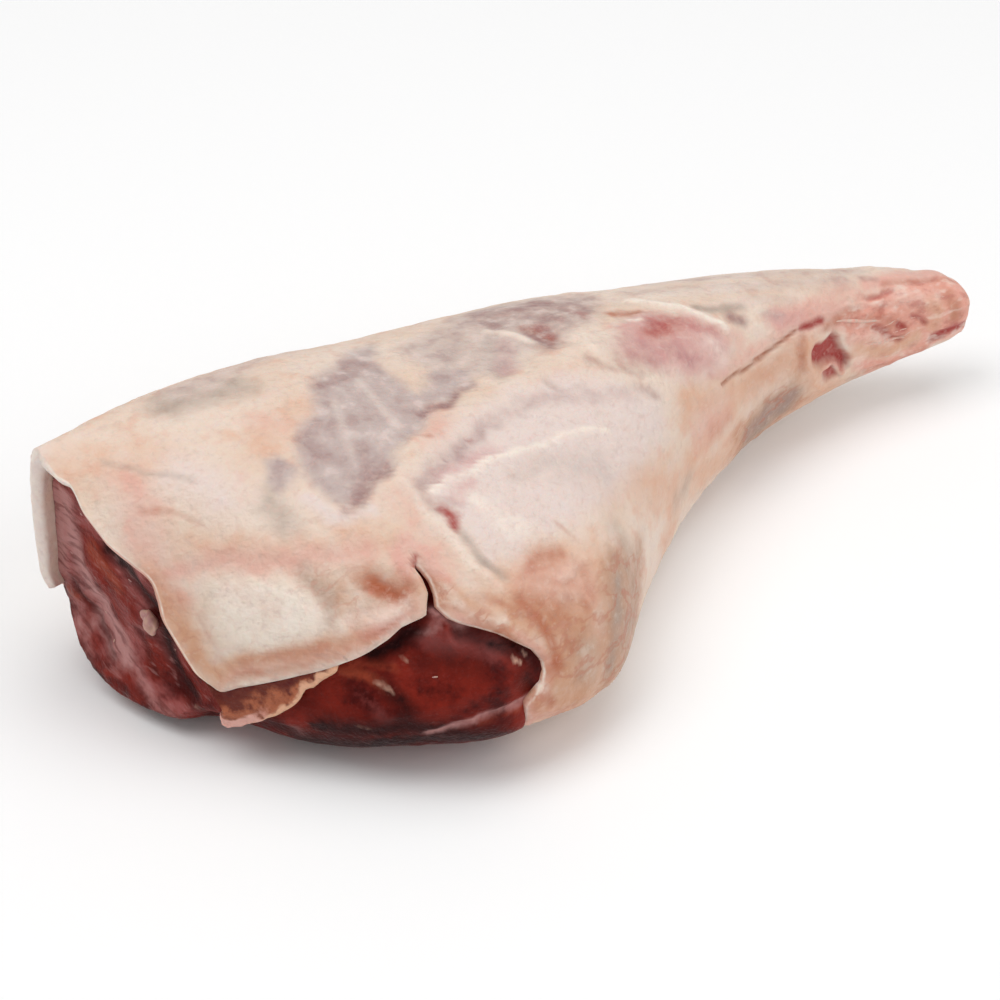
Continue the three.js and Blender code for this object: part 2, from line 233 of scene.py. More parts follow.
FAT_MARKS = marks_of([
    # grey muscle behind thin skin, where the fat is gone from the crown of the thigh
    ("window", 1.0, -0.6, 0, 4.2, [
        (-53, 0.79), (-63, 0.9), (-76, 1.02), (-86, 1.1), (-95, 1.18), (-103, 1.23), (-105.5, 1.28),
        (-105, 1.34), (-102, 1.375), (-96, 1.36), (-82, 1.3), (-68, 1.23), (-60, 1.19), (-49, 1.12),
        (-39, 1.08), (-29, 1.05), (-23, 1.0), (-27, 0.96), (-36, 0.97), (-44, 1.02), (-50, 1.05),
        (-50, 0.95), (-47, 0.86), (-43, 0.73)]),
    ("window", 0.62, -0.3, 0, 6, [
        (-45, 0.9), (-36, 0.8), (-18, 0.7), (-2, 0.54), (12, 0.5), (26, 0.56), (42, 0.62), (46, 0.72),
        (38, 0.85), (26, 0.92), (16, 0.93), (8, 0.98), (-1, 0.98), (-14, 1.03), (-24, 1.03), (-36, 0.98)]),
    ("window", -0.7, 0.4, 0, 4, [(-50, 0.88), (-41, 0.84), (-39, 0.93), (-43, 1.02), (-49, 1.05)]),
    ("window", 0.95, -0.5, 0, 2.8, [
        (-113, 1.245), (-108, 1.235), (-105.5, 1.25), (-108, 1.285), (-112, 1.325), (-116, 1.335),
        (-117.5, 1.31)]),
    ("window", 0.5, 0, 5, 8, [(-110, 0.9), (-92, 0.78), (-68, 0.62)]),
    ("shade", 0.68, -0.3, 5, 8, [(-119, 1.0), (-108, 1.0), (-97, 0.97)]),
    ("shade", 0.6, 0, 3.5, 6, [(-121, 1.34), (-120.5, 1.4)]),
    ("membrane", 0.9, 0.3, 1.5, 3, [(-110, 1.345), (-108.5, 1.385), (-104, 1.405), (-96, 1.385)]),
    ("purple", 0.75, -0.4, 0.6, 3, [(-103, 1.39), (-97, 1.355), (-90, 1.33), (-79, 1.28)]),
    ("purple", 0.8, -0.4, 1, 3.2, [(-54, 1.14), (-45, 1.115), (-38, 1.08), (-30, 1.05)]),
    ("purple", 0.35, -0.2, 2, 6, [(-75, 1.02), (-64, 0.97), (-55, 0.9)]),
    ("purple", 0.35, -0.2, 1.8, 4, [(-97, 1.2), (-94, 1.25)]),
    ("purple", 0.35, -0.2, 1.8, 4, [(-84, 1.22), (-82, 1.26), (-88, 1.3)]),
    ("rose", 0.4, 0, 1.5, 3.5, [(-66, 1.16), (-61, 1.12), (-56, 1.13)]),
    ("white", 0.3, 0.1, 0.4, 2.6, [(-62, 1.0), (-64, 1.07), (-66, 1.17)]),
    ("white", 0.28, 0.1, 0.4, 2.6, [(-76, 1.08), (-81, 1.16), (-87, 1.23)]),
    # the top left of the rump and the back
    ("peach", 0.5, 0, 5, 9, [(-107, 1.19), (-97, 1.14), (-87, 1.09)]),
    ("peach", 0.5, 0, 1.2, 3.5, [(-115, 1.16), (-111, 1.19), (-105, 1.16)]),
    ("blush", 0.35, 0, 2.5, 6, [(-103, 1.12), (-97, 1.14)]),
    ("membrane", 0.7, 0.3, 6, 9, [(-136, 1.25), (-131, 1.31)]),
    ("shade", 0.35, -0.3, 0.3, 2, [(-150, 1.19), (-142, 1.23), (-134, 1.27)]),
    ("rust", 0.3, -0.3, 0.3, 2, [(-152, 1.33), (-146, 1.36), (-141, 1.39)]),
    ("blush", 0.6, 0, 4, 9, [(-150, 1.27), (-153, 1.37), (-157, 1.46)]),
    ("peach", 0.4, 0, 6, 9, [(-158, 1.15), (-150, 1.2), (-138, 1.2)]),
    ("membrane", 0.7, 0, 5, 6, [(-164, -0.2), (-166, 0.3), (-163, 0.8)]),
    # the free flap: a pale panel in a rosy border, folded along its edges
    ("blush", 0.7, -0.3, 2, 6, [(-155, 1.51), (-143, 1.49), (-124, 1.485), (-106, 1.485)]),
    ("peach", 0.45, 0, 3, 6, [(-150, 1.45), (-130, 1.455), (-112, 1.46), (-98, 1.47)]),
    ("white", 0.75, 1.4, 0, 5, [
        (-149, 1.56), (-141, 1.53), (-132, 1.54), (-129, 1.62), (-135, 1.68), (-147, 1.72), (-152, 1.7),
        (-152, 1.62)]),
    ("blush", 0.5, 0, 2, 4, [(-146, 1.57), (-140, 1.6)]),
    ("tan", 0.5, -0.5, 0, 6, [
        (-129, 1.51), (-126, 1.6), (-121, 1.635), (-114, 1.6), (-117, 1.55), (-121, 1.51)]),
    ("shade", 0.35, -0.4, 2.5, 4, [(-126, 1.52), (-125, 1.58), (-128, 1.63)]),
    ("tan", 0.55, 0, 2, 6, [(-111, 1.56), (-106, 1.58), (-101, 1.61)]),
    ("rust", 1.0, -1.0, 1.6, 5, [(-110, 1.555), (-107.5, 1.575), (-104.5, 1.6)]),
    ("rust", 0.5, -0.4, 0, 6, [
        (-113, 1.53), (-107, 1.535), (-102, 1.57), (-103, 1.61), (-108, 1.62), (-113, 1.6)]),
    # Pale ridge of the lobe, with a painted highlight along it.
    ("white", 0.35, 1.2, 1.4, 3, [(-127, 1.665), (-117, 1.64), (-110, 1.625), (-104, 1.615)]),
    ("blush", 1.0, 0, 0, 4, [
        (-124, 1.68), (-116, 1.64), (-109, 1.62), (-101, 1.61), (-102, 1.64), (-109, 1.66), (-116, 1.69),
        (-123, 1.7)]),
    # Painted shade along the sunk fold above the lobe.
    ("rust", 0.35, -0.8, 0.8, 3, [(-124, 1.66), (-119, 1.63), (-113, 1.61), (-107, 1.6)]),
    ("peach", 0.9, 0, 2.4, 4.5, [(-155, 1.78), (-142, 1.735), (-129, 1.7), (-119, 1.665)]),
    ("rust", 0.35, -0.2, 1, 3, [(-152, 1.77), (-142, 1.735), (-129, 1.7), (-121, 1.675)]),
    ("peach", 1.0, 0, 3.5, 5.5, [(-160, 1.5), (-160, 1.6), (-160, 1.7), (-159, 1.82)]),
    ("tan", 0.35, 0, 2.5, 6, [(-160, 1.54), (-160, 1.7), (-159, 1.82)]),
    ("tan", 0.3, 0, 2, 5, [(-152, 1.77), (-142, 1.73), (-129, 1.695)]),
    ("blush", 0.5, 0, 2, 5, [(-159, 1.42), (-159, 1.5), (-157, 1.58)]),
    ("rust", 0.3, -0.7, 0.3, 2, [(-155, 1.62), (-155.5, 1.74), (-155, 1.83)]),
    ("blush", 0.5, 0, 1.0, 3.5, [
        (-159, 1.85), (-152, 1.8), (-143, 1.76), (-132, 1.72), (-120, 1.69), (-108, 1.65)]),
    ("tan", 0.2, 0, 1.4, 3.5, [(-159, 1.85), (-152, 1.8), (-143, 1.76), (-132, 1.72), (-120, 1.69)]),
    # Painted shade along the sunk fold by the flap's lower edge.
    ("rust", 0.4, -0.6, 0.3, 2.2, [
        (-156, 1.835), (-150, 1.805), (-135, 1.745), (-121, 1.695), (-111, 1.65)]),
    ("white", 0.7, 0.4, 0.6, 1.6, [(-158, 1.88), (-150, 1.84), (-135, 1.775), (-121, 1.72), (-107, 1.66)]),
    ("none", 0, 1.6, 4, 6, [(196, 0.95), (198, 1.3)]),
    ("none", 0, -0.6, 2, 4, [(-151, 1.5), (-141, 1.485), (-126, 1.49), (-109, 1.485), (-97, 1.49)]),
    ("peach", 0.6, 0, 0, 6, [(-111, 1.39), (-101, 1.385), (-97, 1.43), (-105, 1.47), (-113, 1.47)]),
    ("blush", 0.4, 0, 0, 6, [(-91, 1.37), (-77, 1.32), (-80, 1.38), (-87, 1.48)]),
    ("blush", 0.5, 0, 0, 6, [(-49, 1.09), (-42, 1.11), (-48, 1.19), (-60, 1.25), (-64, 1.22)]),
    # about the slit
    ("blush", 0.85, 0, 2.4, 4, [(-100, 1.55), (-97, 1.5), (-92, 1.475), (-89, 1.51), (-90, 1.58)]),
    ("rust", 0.4, 0, 1.2, 3, [(-103, 1.54), (-99, 1.57)]),
    ("blood", 0.85, -1.5, 0.6, 1.1, [(-96.6, 1.535), (-94.6, 1.52), (-92.9, 1.505)]),
    ("white", 0.4, 0.4, 1.5, 2.5, [(-91.5, 1.6), (-88, 1.655), (-78, 1.705)]),
    # membrane over the round of the thigh
    ("membrane", 0.9, 0.4, 0, 7, [
        (-74, 1.32), (-59, 1.25), (-41, 1.16), (-20, 1.1), (3, 1.11), (23, 1.24), (37, 1.44), (33, 1.58),
        (12, 1.58), (-12, 1.53), (-33, 1.5), (-58, 1.54), (-69, 1.56), (-74, 1.5), (-76, 1.41)]),
    ("none", 0, 1.1, 4, 5, [(-84, 1.34), (-60, 1.23), (-38, 1.14), (3, 1.05), (45, 0.98)]),
    ("purple", 0.4, -0.3, 1.2, 5, [(-74, 1.345), (-63, 1.295), (-54, 1.26)]),
    ("purple", 0.45, -0.3, 1.2, 4.5, [(-52, 1.25), (-41, 1.215), (-31, 1.18)]),
    ("purple", 0.32, -0.3, 1.4, 5, [(-29, 1.175), (-18, 1.16), (-10, 1.17)]),
    ("purple", 0.22, -0.2, 1.2, 5, [(-5, 1.19), (11, 1.26), (29, 1.33)]),
    ("rose", 0.45, -0.2, 1.6, 5, [(-67, 1.335), (-54, 1.295), (-42, 1.27)]),
    ("purple", 0.9, -0.3, 0.9, 1.1, [(-60, 1.282), (-59, 1.279)]),
    ("blood", 0.5, -0.3, 0.9, 1.2, [(-46.5, 1.235), (-45, 1.232)]),
    ("rust", 0.5, 0, 0.8, 1.4, [(-60, 1.225), (-58.5, 1.222)]),
    ("white", 0.75, 0.6, 0.8, 2, [(-72, 1.36), (-49, 1.305), (-31, 1.275), (-14, 1.3), (7, 1.39)]),
    ("shade", 0.2, -0.2, 4, 9, [(-29, 1.32), (-21, 1.37), (-6, 1.45)]),
    ("shade", 0.35, -0.3, 1.2, 4, [(-40, 1.35), (-32, 1.35)]),
    ("peach", 0.45, 0, 6, 10, [(-30, 1.4), (-12, 1.48), (6, 1.55)]),
    ("blood", 0.95, -0.4, 1.5, 2.0, [(-73.5, 1.41), (-72.5, 1.43), (-74, 1.455)]),
    ("rose", 0.5, 0, 1.2, 3.4, [(-67, 1.39), (-62, 1.365), (-56, 1.345)]),
    ("purple", 0.35, 0, 2, 3, [(-78, 1.37), (-76, 1.41), (-70, 1.4)]),
    ("shade", 0.6, -0.5, 0.2, 2.4, [(-74, 1.465), (-73, 1.5), (-71.5, 1.55), (-68, 1.6)]),
    ("blush", 0.75, 0, 0.7, 1.8, [(-54, 1.43), (-47, 1.465)]),
    ("rust", 0.3, 0, 0.4, 1.5, [(-35, 1.49), (-31, 1.54)]),
    ("white", 0.5, 0.3, 3, 4, [(-60, 1.4), (-56, 1.46), (-48, 1.5)]),
    # The raised edge of the fat, pale and with a painted highlight along it.
    ("white", 0.4, 0.8, 1.2, 2.4, [(-79, 1.34), (-80, 1.4), (-79, 1.48), (-76.5, 1.56), (-72, 1.62)]),
    ("blush", 0.4, 0, 2, 4, [(-85, 1.4), (-86, 1.47), (-84, 1.55)]),
    # the bulge of the thigh in front
    ("peach", 0.8, 0, 0, 9, [
        (-76, 1.59), (-54, 1.545), (-36, 1.545), (-22, 1.59), (-14, 1.72), (-20, 2.0), (-40, 2.4),
        (-66, 2.35), (-74, 2.1), (-66, 1.96), (-64, 1.83), (-74, 1.73), (-86, 1.65)]),
    ("blush", 0.6, 0, 0, 6, [
        (-59, 1.57), (-41, 1.58), (-32, 1.66), (-31, 1.74), (-39, 1.77), (-52, 1.72), (-60, 1.67),
        (-66, 1.62)]),
    ("peach", 0.8, 0, 0, 5, [
        (-79, 1.68), (-70, 1.655), (-64, 1.68), (-62, 1.74), (-68, 1.78), (-73, 1.75)]),
    # A dark orange stain, deepened along its sunk crease as painted shade.
    ("rust", 0.75, -0.5, 1.4, 4, [(-66, 1.67), (-63, 1.73), (-60.5, 1.78), (-60, 1.83), (-61, 1.88)]),
    ("rust", 0.35, 0, 3.5, 5, [(-60, 1.66), (-54, 1.7), (-53, 1.76)]),
    ("rust", 0.55, 0, 0.8, 2.6, [(-46, 1.69), (-45, 1.7)]),
    ("rust", 0.35, 0, 0.8, 2.4, [(-40, 1.73), (-38, 1.735)]),
    ("rust", 0.45, 0, 1.2, 3.5, [(-52, 1.79), (-51, 1.82)]),
    ("rust", 0.4, -0.2, 0.6, 3, [(-56, 1.575), (-47, 1.56), (-40, 1.555)]),
    ("rust", 0.3, -0.2, 0.6, 3, [(-58, 1.62), (-50, 1.645), (-40, 1.65)]),
    ("rust", 0.3, -0.2, 0.5, 3, [(-36, 1.6), (-34, 1.66), (-33, 1.72)]),
    ("rust", 0.35, -0.3, 0.5, 2.6, [(-82, 1.62), (-75, 1.66), (-69, 1.7)]),
    ("blush", 0.6, 0, 2, 4.5, [(-36, 1.79), (-34, 1.83)]),
    ("tan", 0.72, 0, 0, 10, [
        (-75, 1.66), (-59, 1.66), (-40, 1.69), (-29, 1.77), (-29, 1.92), (-36, 2.04), (-55, 2.2),
        (-69, 2.16), (-74, 1.99), (-67, 1.88), (-69, 1.78), (-77, 1.7)]),
    ("tan", 0.15, 0, 0, 9, [
        (-66, 1.59), (-50, 1.57), (-33, 1.6), (-25, 1.69), (-34, 1.74), (-49, 1.68), (-61, 1.65)]),
    # Painted shade down the right side of the bulge, where it turns from the light: tan, then grey over it.
    ("tan", 0.85, 0, 0, 9, [
        (-17, 1.65), (-2, 1.76), (6, 1.8), (2, 1.95), (-10, 2.1), (-34, 2.25), (-44, 2.0), (-34, 1.8),
        (-26, 1.68)]),
    ("shade", 0.42, -0.3, 0, 9, [
        (-17, 1.66), (-4, 1.76), (4, 1.8), (0, 1.95), (-10, 2.1), (-32, 2.2), (-38, 1.98), (-30, 1.8),
        (-24, 1.7)]),
    ("shade", 0.6, -0.3, 1.5, 8, [(-18, 1.74), (-20, 1.8), (-25, 1.88), (-32, 1.98)]),
    ("tan", 0.5, 0, 0, 7, [(-56, 1.66), (-44, 1.68), (-36, 1.73), (-33, 1.79), (-46, 1.82), (-55, 1.78)]),
    ("rust", 0.45, -0.3, 0.8, 3, [(-54, 1.57), (-47, 1.57), (-40, 1.565)]),
    ("rust", 0.35, -0.2, 0.6, 3, [(-61, 1.6), (-54, 1.59), (-46, 1.59)]),
    ("rust", 0.4, -0.3, 0.6, 3, [(-62, 1.67), (-57, 1.71), (-55, 1.76)]),
    # Painted shade on the low part of the bulge.
    ("shade", 0.4, -0.3, 0, 7, [(-50, 1.82), (-40, 1.8), (-36, 1.9), (-42, 2.0), (-52, 1.96)]),
    ("white", 0.2, 0.4, 1.2, 4, [(-33, 1.6), (-46, 1.63)]),
    ("white", 0.15, 0.3, 1.5, 4, [(-56, 1.64), (-48, 1.68), (-42, 1.7)]),
    ("white", 0.15, 0.3, 2, 5, [(-31, 1.77), (-44, 1.87), (-40, 1.99)]),
    ("white", 0.75, 0.3, 1.2, 2.2, [(-75, 1.935), (-70, 1.94)]),
    ("rust", 0.55, 0, 0.8, 2.8, [(-69, 1.98), (-66, 2.02)]),
    ("blush", 0.85, 0, 2.5, 5, [(-80, 2.02), (-72, 2.1), (-60, 2.13)]),
    # Painted shade at the top of the bulge's right edge.
    ("shade", 0.35, 0, 3, 6, [(-10, 1.62), (-4, 1.75)]),
    ("tan", 0.75, 0, 1.5, 4.5, [
        (-93, 1.59), (-90, 1.62), (-86, 1.66), (-81, 1.7), (-77, 1.76), (-76, 1.84), (-73, 2.01)]),
    ("peach", 0.8, 0, 3, 6, [
        (-93, 1.59), (-90, 1.62), (-86, 1.66), (-81, 1.7), (-77, 1.76), (-75, 1.85), (-73, 2.01)]),
    ("rust", 0.55, 0, 0.8, 2.6, [(-93, 1.55), (-94, 1.59), (-95, 1.63)]),
    ("rust", 0.45, 0, 0.8, 3, [(-90, 1.64), (-84, 1.69), (-79, 1.75)]),
    # purple muscle under thin skin along the crown
    ("purple", 0.42, -0.3, 0, 7, [
        (-7, 0.62), (11, 0.55), (26, 0.6), (43, 0.68), (41, 0.82), (30, 0.91), (25, 0.84), (17, 0.93),
        (15, 0.86), (7, 0.82), (-4, 0.8)]),
    ("purple", 0.4, -0.3, 1.5, 5, [(-6, 0.7), (2, 0.75), (11, 0.73), (16, 0.84), (13, 0.94)]),
    ("rust", 0.3, -0.2, 1.2, 3.5, [(6, 0.86), (10, 0.95)]),
    ("purple", 0.8, -0.3, 0, 4, [(7, 0.84), (14, 0.88), (13, 0.98), (5, 0.99), (1, 0.94)]),
    ("blood", 0.2, 0, 1.5, 5, [(11, 0.86), (10, 0.96)]),
    ("purple", 0.7, -0.3, 0, 4, [(-7, 0.74), (0, 0.7), (3, 0.75), (1, 0.82), (-5, 0.85)]),
    ("purple", 0.5, -0.3, 1.4, 4.2, [(24, 0.74), (27, 0.82), (30, 0.89)]),
    ("blood", 0.3, 0, 1, 2.6, [(29, 0.81), (31, 0.88)]),
    ("window", -0.8, 0.3, 0.9, 2.4, [(-6, 0.82), (0, 0.88), (2.5, 0.94), (5, 1.0)]),
    ("white", 0.6, 0.4, 0.6, 2.4, [(-6, 0.82), (0, 0.88), (2.5, 0.94)]),
    ("rose", 0.6, -0.2, 1.8, 4, [(-5, 0.9), (-9, 0.97), (-15, 1.02)]),
    ("shade", 0.5, -0.4, 1.4, 5, [(-8, 0.88), (-15, 0.97), (-18, 1.03)]),
    ("shade", 0.4, 0, 2, 5, [(-22, 0.87), (-31, 0.97)]),
    ("white", 0.4, 0.3, 4, 5, [(18, 0.96), (20, 1.02)]),
    # the rosy oval before the shank, with a band of tendon over it
    ("rose", 0.8, 0.3, 0, 6, [
        (29, 1.06), (37, 0.97), (47, 0.93), (60, 0.97), (70, 1.05), (78, 1.21), (82, 1.38), (82, 1.48),
        (76, 1.54), (66, 1.53), (54, 1.45), (45, 1.34), (37, 1.24), (29, 1.15)]),
    ("blood", 0.5, -0.3, 0, 4, [
        (50, 0.97), (60, 0.97), (66, 1.0), (67, 1.09), (59, 1.13), (50, 1.12), (46, 1.04)]),
    ("rust", 0.25, -0.2, 1.8, 5, [(46, 1.06), (54, 1.1), (60, 1.09)]),
    ("rust", 0.75, -0.2, 0.8, 2.8, [(40, 0.895), (45, 0.91), (51, 0.935)]),
    ("white", 0.9, 0.3, 0.7, 1.4, [(44, 0.955), (48.5, 0.975)]),
    ("blood", 0.3, -0.2, 1.6, 4, [(68, 1.14), (73, 1.21), (76, 1.27)]),
    ("purple", 0.18, -0.2, 2.5, 6, [(52, 1.24), (60, 1.36)]),
    ("white", 0.4, 0.2, 3.5, 5, [(73, 1.34), (75, 1.46)]),
    ("purple", 0.25, -0.2, 0, 5, [(24, 1.02), (37, 1.01), (44, 1.15), (45, 1.33), (33, 1.26), (23, 1.14)]),
    ("purple", 0.22, -0.2, 0.8, 4, [(30, 1.16), (38, 1.22)]),
    ("white", 0.85, 0.8, 1.2, 2.4, [(53, 0.83), (61, 0.89), (70, 0.98), (77, 1.15), (83, 1.31)]),
    ("shade", 0.8, -0.4, 0.8, 3.6, [(77, 0.995), (86, 1.09), (95, 1.15)]),
    ("purple", 0.75, -0.3, 1.4, 3.4, [(88, 1.22), (93, 1.31)]),
    ("purple", 0.3, -0.2, 0.7, 3.4, [(15, 1.09), (22, 1.17)]),
    ("purple", 0.3, -0.2, 0.7, 3.4, [(26, 1.18), (33, 1.27)]),
    ("purple", 0.3, -0.2, 0.8, 3.4, [(29, 1.32), (36, 1.41)]),
    ("purple", 0.3, -0.2, 0.8, 3.4, [(-5, 1.12), (-2, 1.18)]),
    ("purple", 0.25, -0.2, 0.8, 3.6, [(5, 1.2), (13, 1.27)]),
    ("blush", 0.6, 0, 2.5, 4, [(84, 1.36), (88, 1.46), (86, 1.56)]),
    ("peach", 0.7, 0, 5, 9, [(50, 1.58), (66, 1.66), (78, 1.72)]),
    # the knee and the underside of the shank
    ("peach", 0.7, 0, 8, 12, [(13, 1.62), (29, 1.77), (36, 1.9), (30, 2.05)]),
    ("blush", 0.6, 0, 5, 9, [(58, 1.76), (71, 1.79)]),
    ("peach", 0.8, 0, 5, 9, [(48, 1.86), (62, 1.83), (80, 1.78)]),
    ("rust", 0.2, 0, 2, 6, [(66, 1.84), (74, 1.86)]),
    ("shade", 0.4, 0, 2.5, 6, [(47, 1.93), (38, 1.92)]),
    # Painted shade along the underside of the shank: tan, grey and a little purple.
    ("tan", 0.9, 0, 0, 8, [(80, 2.0), (94, 1.96), (118, 1.96), (124, 2.3), (100, 2.6), (84, 2.5)]),
    ("shade", 0.75, -0.3, 0, 7, [
        (86, 2.07), (94, 2.02), (104, 2.0), (114, 2.01), (122, 2.1), (116, 2.36), (102, 2.46), (90, 2.4)]),
    ("purple", 0.3, 0, 2, 8, [(94, 2.14), (106, 2.12), (114, 2.12)]),
    ("peach", 0.85, 0.6, 5, 8, [(84, 1.76), (108, 1.79), (122, 1.76), (128, 2.06)]),
    ("rust", 0.15, 0, 3, 7, [(92, 1.78), (112, 1.74)]),
    ("peach", 0.8, 0, 8, 9, [(57, 1.98), (97, 2.25), (137, 2.45)]),
    # the shank: crease of the heel tendon, the hole behind it, torn flesh, grey ridge and orange tip
    # Painted shade along the sunk crease of the heel tendon.
    ("rust", 0.8, -1.4, 0.1, 1.5, [(74, 1.62), (88, 1.645), (100, 1.63), (110, 1.6), (117, 1.57)]),
    ("blush", 0.6, 0.5, 1.8, 3.2, [(73, 1.56), (93, 1.57), (110, 1.545)]),
    ("blood", 1.0, -0.8, 1.0, 2.0, [(120, 1.57), (126, 1.57), (131, 1.565)]),
    ("rose", 0.5, 0, 2.5, 5, [(109, 1.4), (119, 1.49)]),
    ("blush", 0.9, 0, 4.2, 6.5, [(112, 1.45), (121, 1.46), (132, 1.48), (142, 1.52)]),
    ("blush", 0.6, 0, 3, 6, [(136, 1.36), (146, 1.28), (152, 1.36)]),
    ("purple", 0.45, 0, 0.8, 2.2, [(158, 1.08), (163, 1.12)]),
    ("blood", 1.0, -3.2, 0, 1.9, [
        (126, 1.82), (128, 1.78), (132, 1.79), (136, 1.73), (139, 1.8), (141.5, 1.95), (146, 2.07),
        (146.5, 2.2), (143, 2.19), (139.5, 2.06), (134, 1.99), (130, 1.99), (126, 1.93)]),
    ("blood", 0.95, -2.2, 0, 1.7, [(132, 2.05), (137, 2.06), (140, 2.13), (142, 2.25), (136, 2.22)]),
    ("rust", 0.7, 0, 0.8, 2.2, [(129, 1.85), (132, 1.92)]),
    ("flesh", 0.8, 0.8, 0.6, 1.6, [(130, 2.02), (136, 2.025), (141, 2.1), (144, 2.22)]),
    ("peach", 0.9, 0.8, 1.2, 2.2, [(123, 1.72), (121.5, 1.87), (126, 2.04), (133, 2.26)]),
    ("rust", 0.5, -0.4, 1.6, 4, [(120, 1.66), (118, 1.76), (120, 1.9)]),
    ("flesh", 1.0, 0.2, 0, 3.6, [
        (139, 1.66), (145, 1.53), (152, 1.44), (163, 1.38), (176, 1.26), (192, 1.08), (204, 0.9),
        (204, 2.6), (191, 2.5), (182, 2.68), (171, 2.7), (160, 2.68), (151, 2.35), (147.5, 2.0)]),
    ("blush", 0.9, 0, 2.5, 5, [(158, 1.25), (168, 1.2), (180, 1.06), (194, 0.95)]),
    ("rust", 0.3, 0.6, 0, 5, [
        (142, 1.62), (150, 1.57), (161, 1.66), (169, 1.88), (172, 2.02), (165, 2.02), (156, 1.86),
        (147, 1.76)]),
    ("flesh", -0.6, 0.5, 2.2, 3.5, [(150, 2.05), (158, 2.16), (168, 2.24), (178, 2.2)]),
    ("peach", 0.9, 0, 2.4, 4, [(150, 2.05), (158, 2.16), (168, 2.24), (178, 2.2)]),
    ("blood", 0.55, -1.2, 0.4, 2.4, [(157, 1.88), (163, 2.01), (170, 2.13)]),
    ("blood", 0.8, -0.8, 0.5, 1.9, [(169, 1.96), (172, 2.02)]),
    ("rust", 0.6, 0, 1.2, 3, [(133, 1.64), (141, 1.59), (149, 1.56)]),
    ("blood", 0.6, -0.9, 0.4, 1.8, [(156, 1.47), (161, 1.48), (167, 1.42)]),
    ("blood", 0.5, -0.8, 0.3, 2, [(176, 1.91), (180, 1.98), (182, 2.06)]),
    ("rust", 0.35, -0.5, 0.3, 2.2, [(166, 1.27), (176, 1.25), (188, 1.19), (199, 1.14)]),
    ("white", 0.25, 0.6, 0.4, 2.2, [(145, 1.5), (152, 1.54), (160, 1.57), (166, 1.62)]),
    ("white", 0.35, 0.7, 1.6, 3.4, [(170, 1.5), (176, 1.6), (186, 1.62)]),
    ("white", 0.3, 0.7, 0.8, 2.6, [(147, 1.88), (154, 1.96), (160, 2.06)]),
    ("peach", 0.8, 0, 2, 3.5, [(184, 1.7), (187, 1.9), (186, 2.1)]),
    ("rust", 0.25, 0, 1.5, 4, [(190, 1.5), (195, 1.75), (196, 2.1)]),
    ("tan", 0.4, -0.7, 1.8, 3.4, [(193, 1.66), (195, 1.85), (195, 2.1)]),
    ("blood", 1.0, -0.6, 1.4, 2.4, [(187, 2.3), (194, 2.27), (200, 2.34)]),
    ("purple", 0.6, -0.3, 0.8, 2, [(187, 2.32), (191, 2.36)]),
    ("rust", 0.4, 0, 1.4, 3, [(150, 2.5), (162, 2.52), (174, 2.56), (184, 2.5)]),
    ("window", 0.42, 0, 3.2, 6, [(58, 0.73), (82, 0.85), (102, 0.95), (128, 1.0), (150, 1.0)]),
    ("white", 0.4, 0, 2, 4, [(62, 0.82), (73, 0.84), (85, 0.89), (98, 0.95)]),
    ("window", 0.4, 0, 2.5, 6, [(66, 0.55), (93, 0.71), (125, 0.84), (160, 0.9)]),
    ("window", 0.35, 0, 1.5, 4, [(99, 1.1), (119, 1.24)]),
    ("window", 0.3, 0, 1.2, 3, [(104, 1.3), (112, 1.4)]),
    # the far side, which the crown hides: thick back fat, thin over the shank
    ("membrane", 0.6, 0.3, 9, 12, [(20, 0.25), (70, 0.2), (120, 0.3)]),
    ("window", 0.6, -0.5, 5, 6, [(-24, 0.34), (10, 0.22)]),
    ("window", 0.45, -0.3, 5, 7, [(60, 0.3), (96, 0.42)]),
    ("blush", 0.5, 0, 9, 12, [(-120, 0.3), (-80, 0.15), (-50, 0.0)]),
    ("peach", 0.5, 0, 12, 14, [(-150, 0.5), (-100, 0.6), (-60, 0.5)]),
    ("peach", 0.6, 0, 9, 12, [(-40, -0.1), (20, -0.1), (80, -0.15)]),
    ("rose", 0.5, 0, 6, 8, [(90, -0.2), (140, 0.0), (170, 0.2)]),
    ("flesh", 0.8, 0, 5, 6, [(178, 0.5), (190, 0.2), (199, -0.3)]),
    ("rust", 0.4, 0, 1.5, 3, [(-70, 0.3), (-40, 0.42), (-20, 0.55)]),
    ("shade", 0.4, 0, 3, 6, [(-100, -0.05), (-60, -0.2)]),
    ("peach", 0.6, 0, 9, 10, [(-40, 2.6), (0, 2.7), (60, 2.8)]),
    ("blush", 0.6, 0, 9, 12, [(-30, 3.1), (20, 3.2), (80, 3.3)]),
])

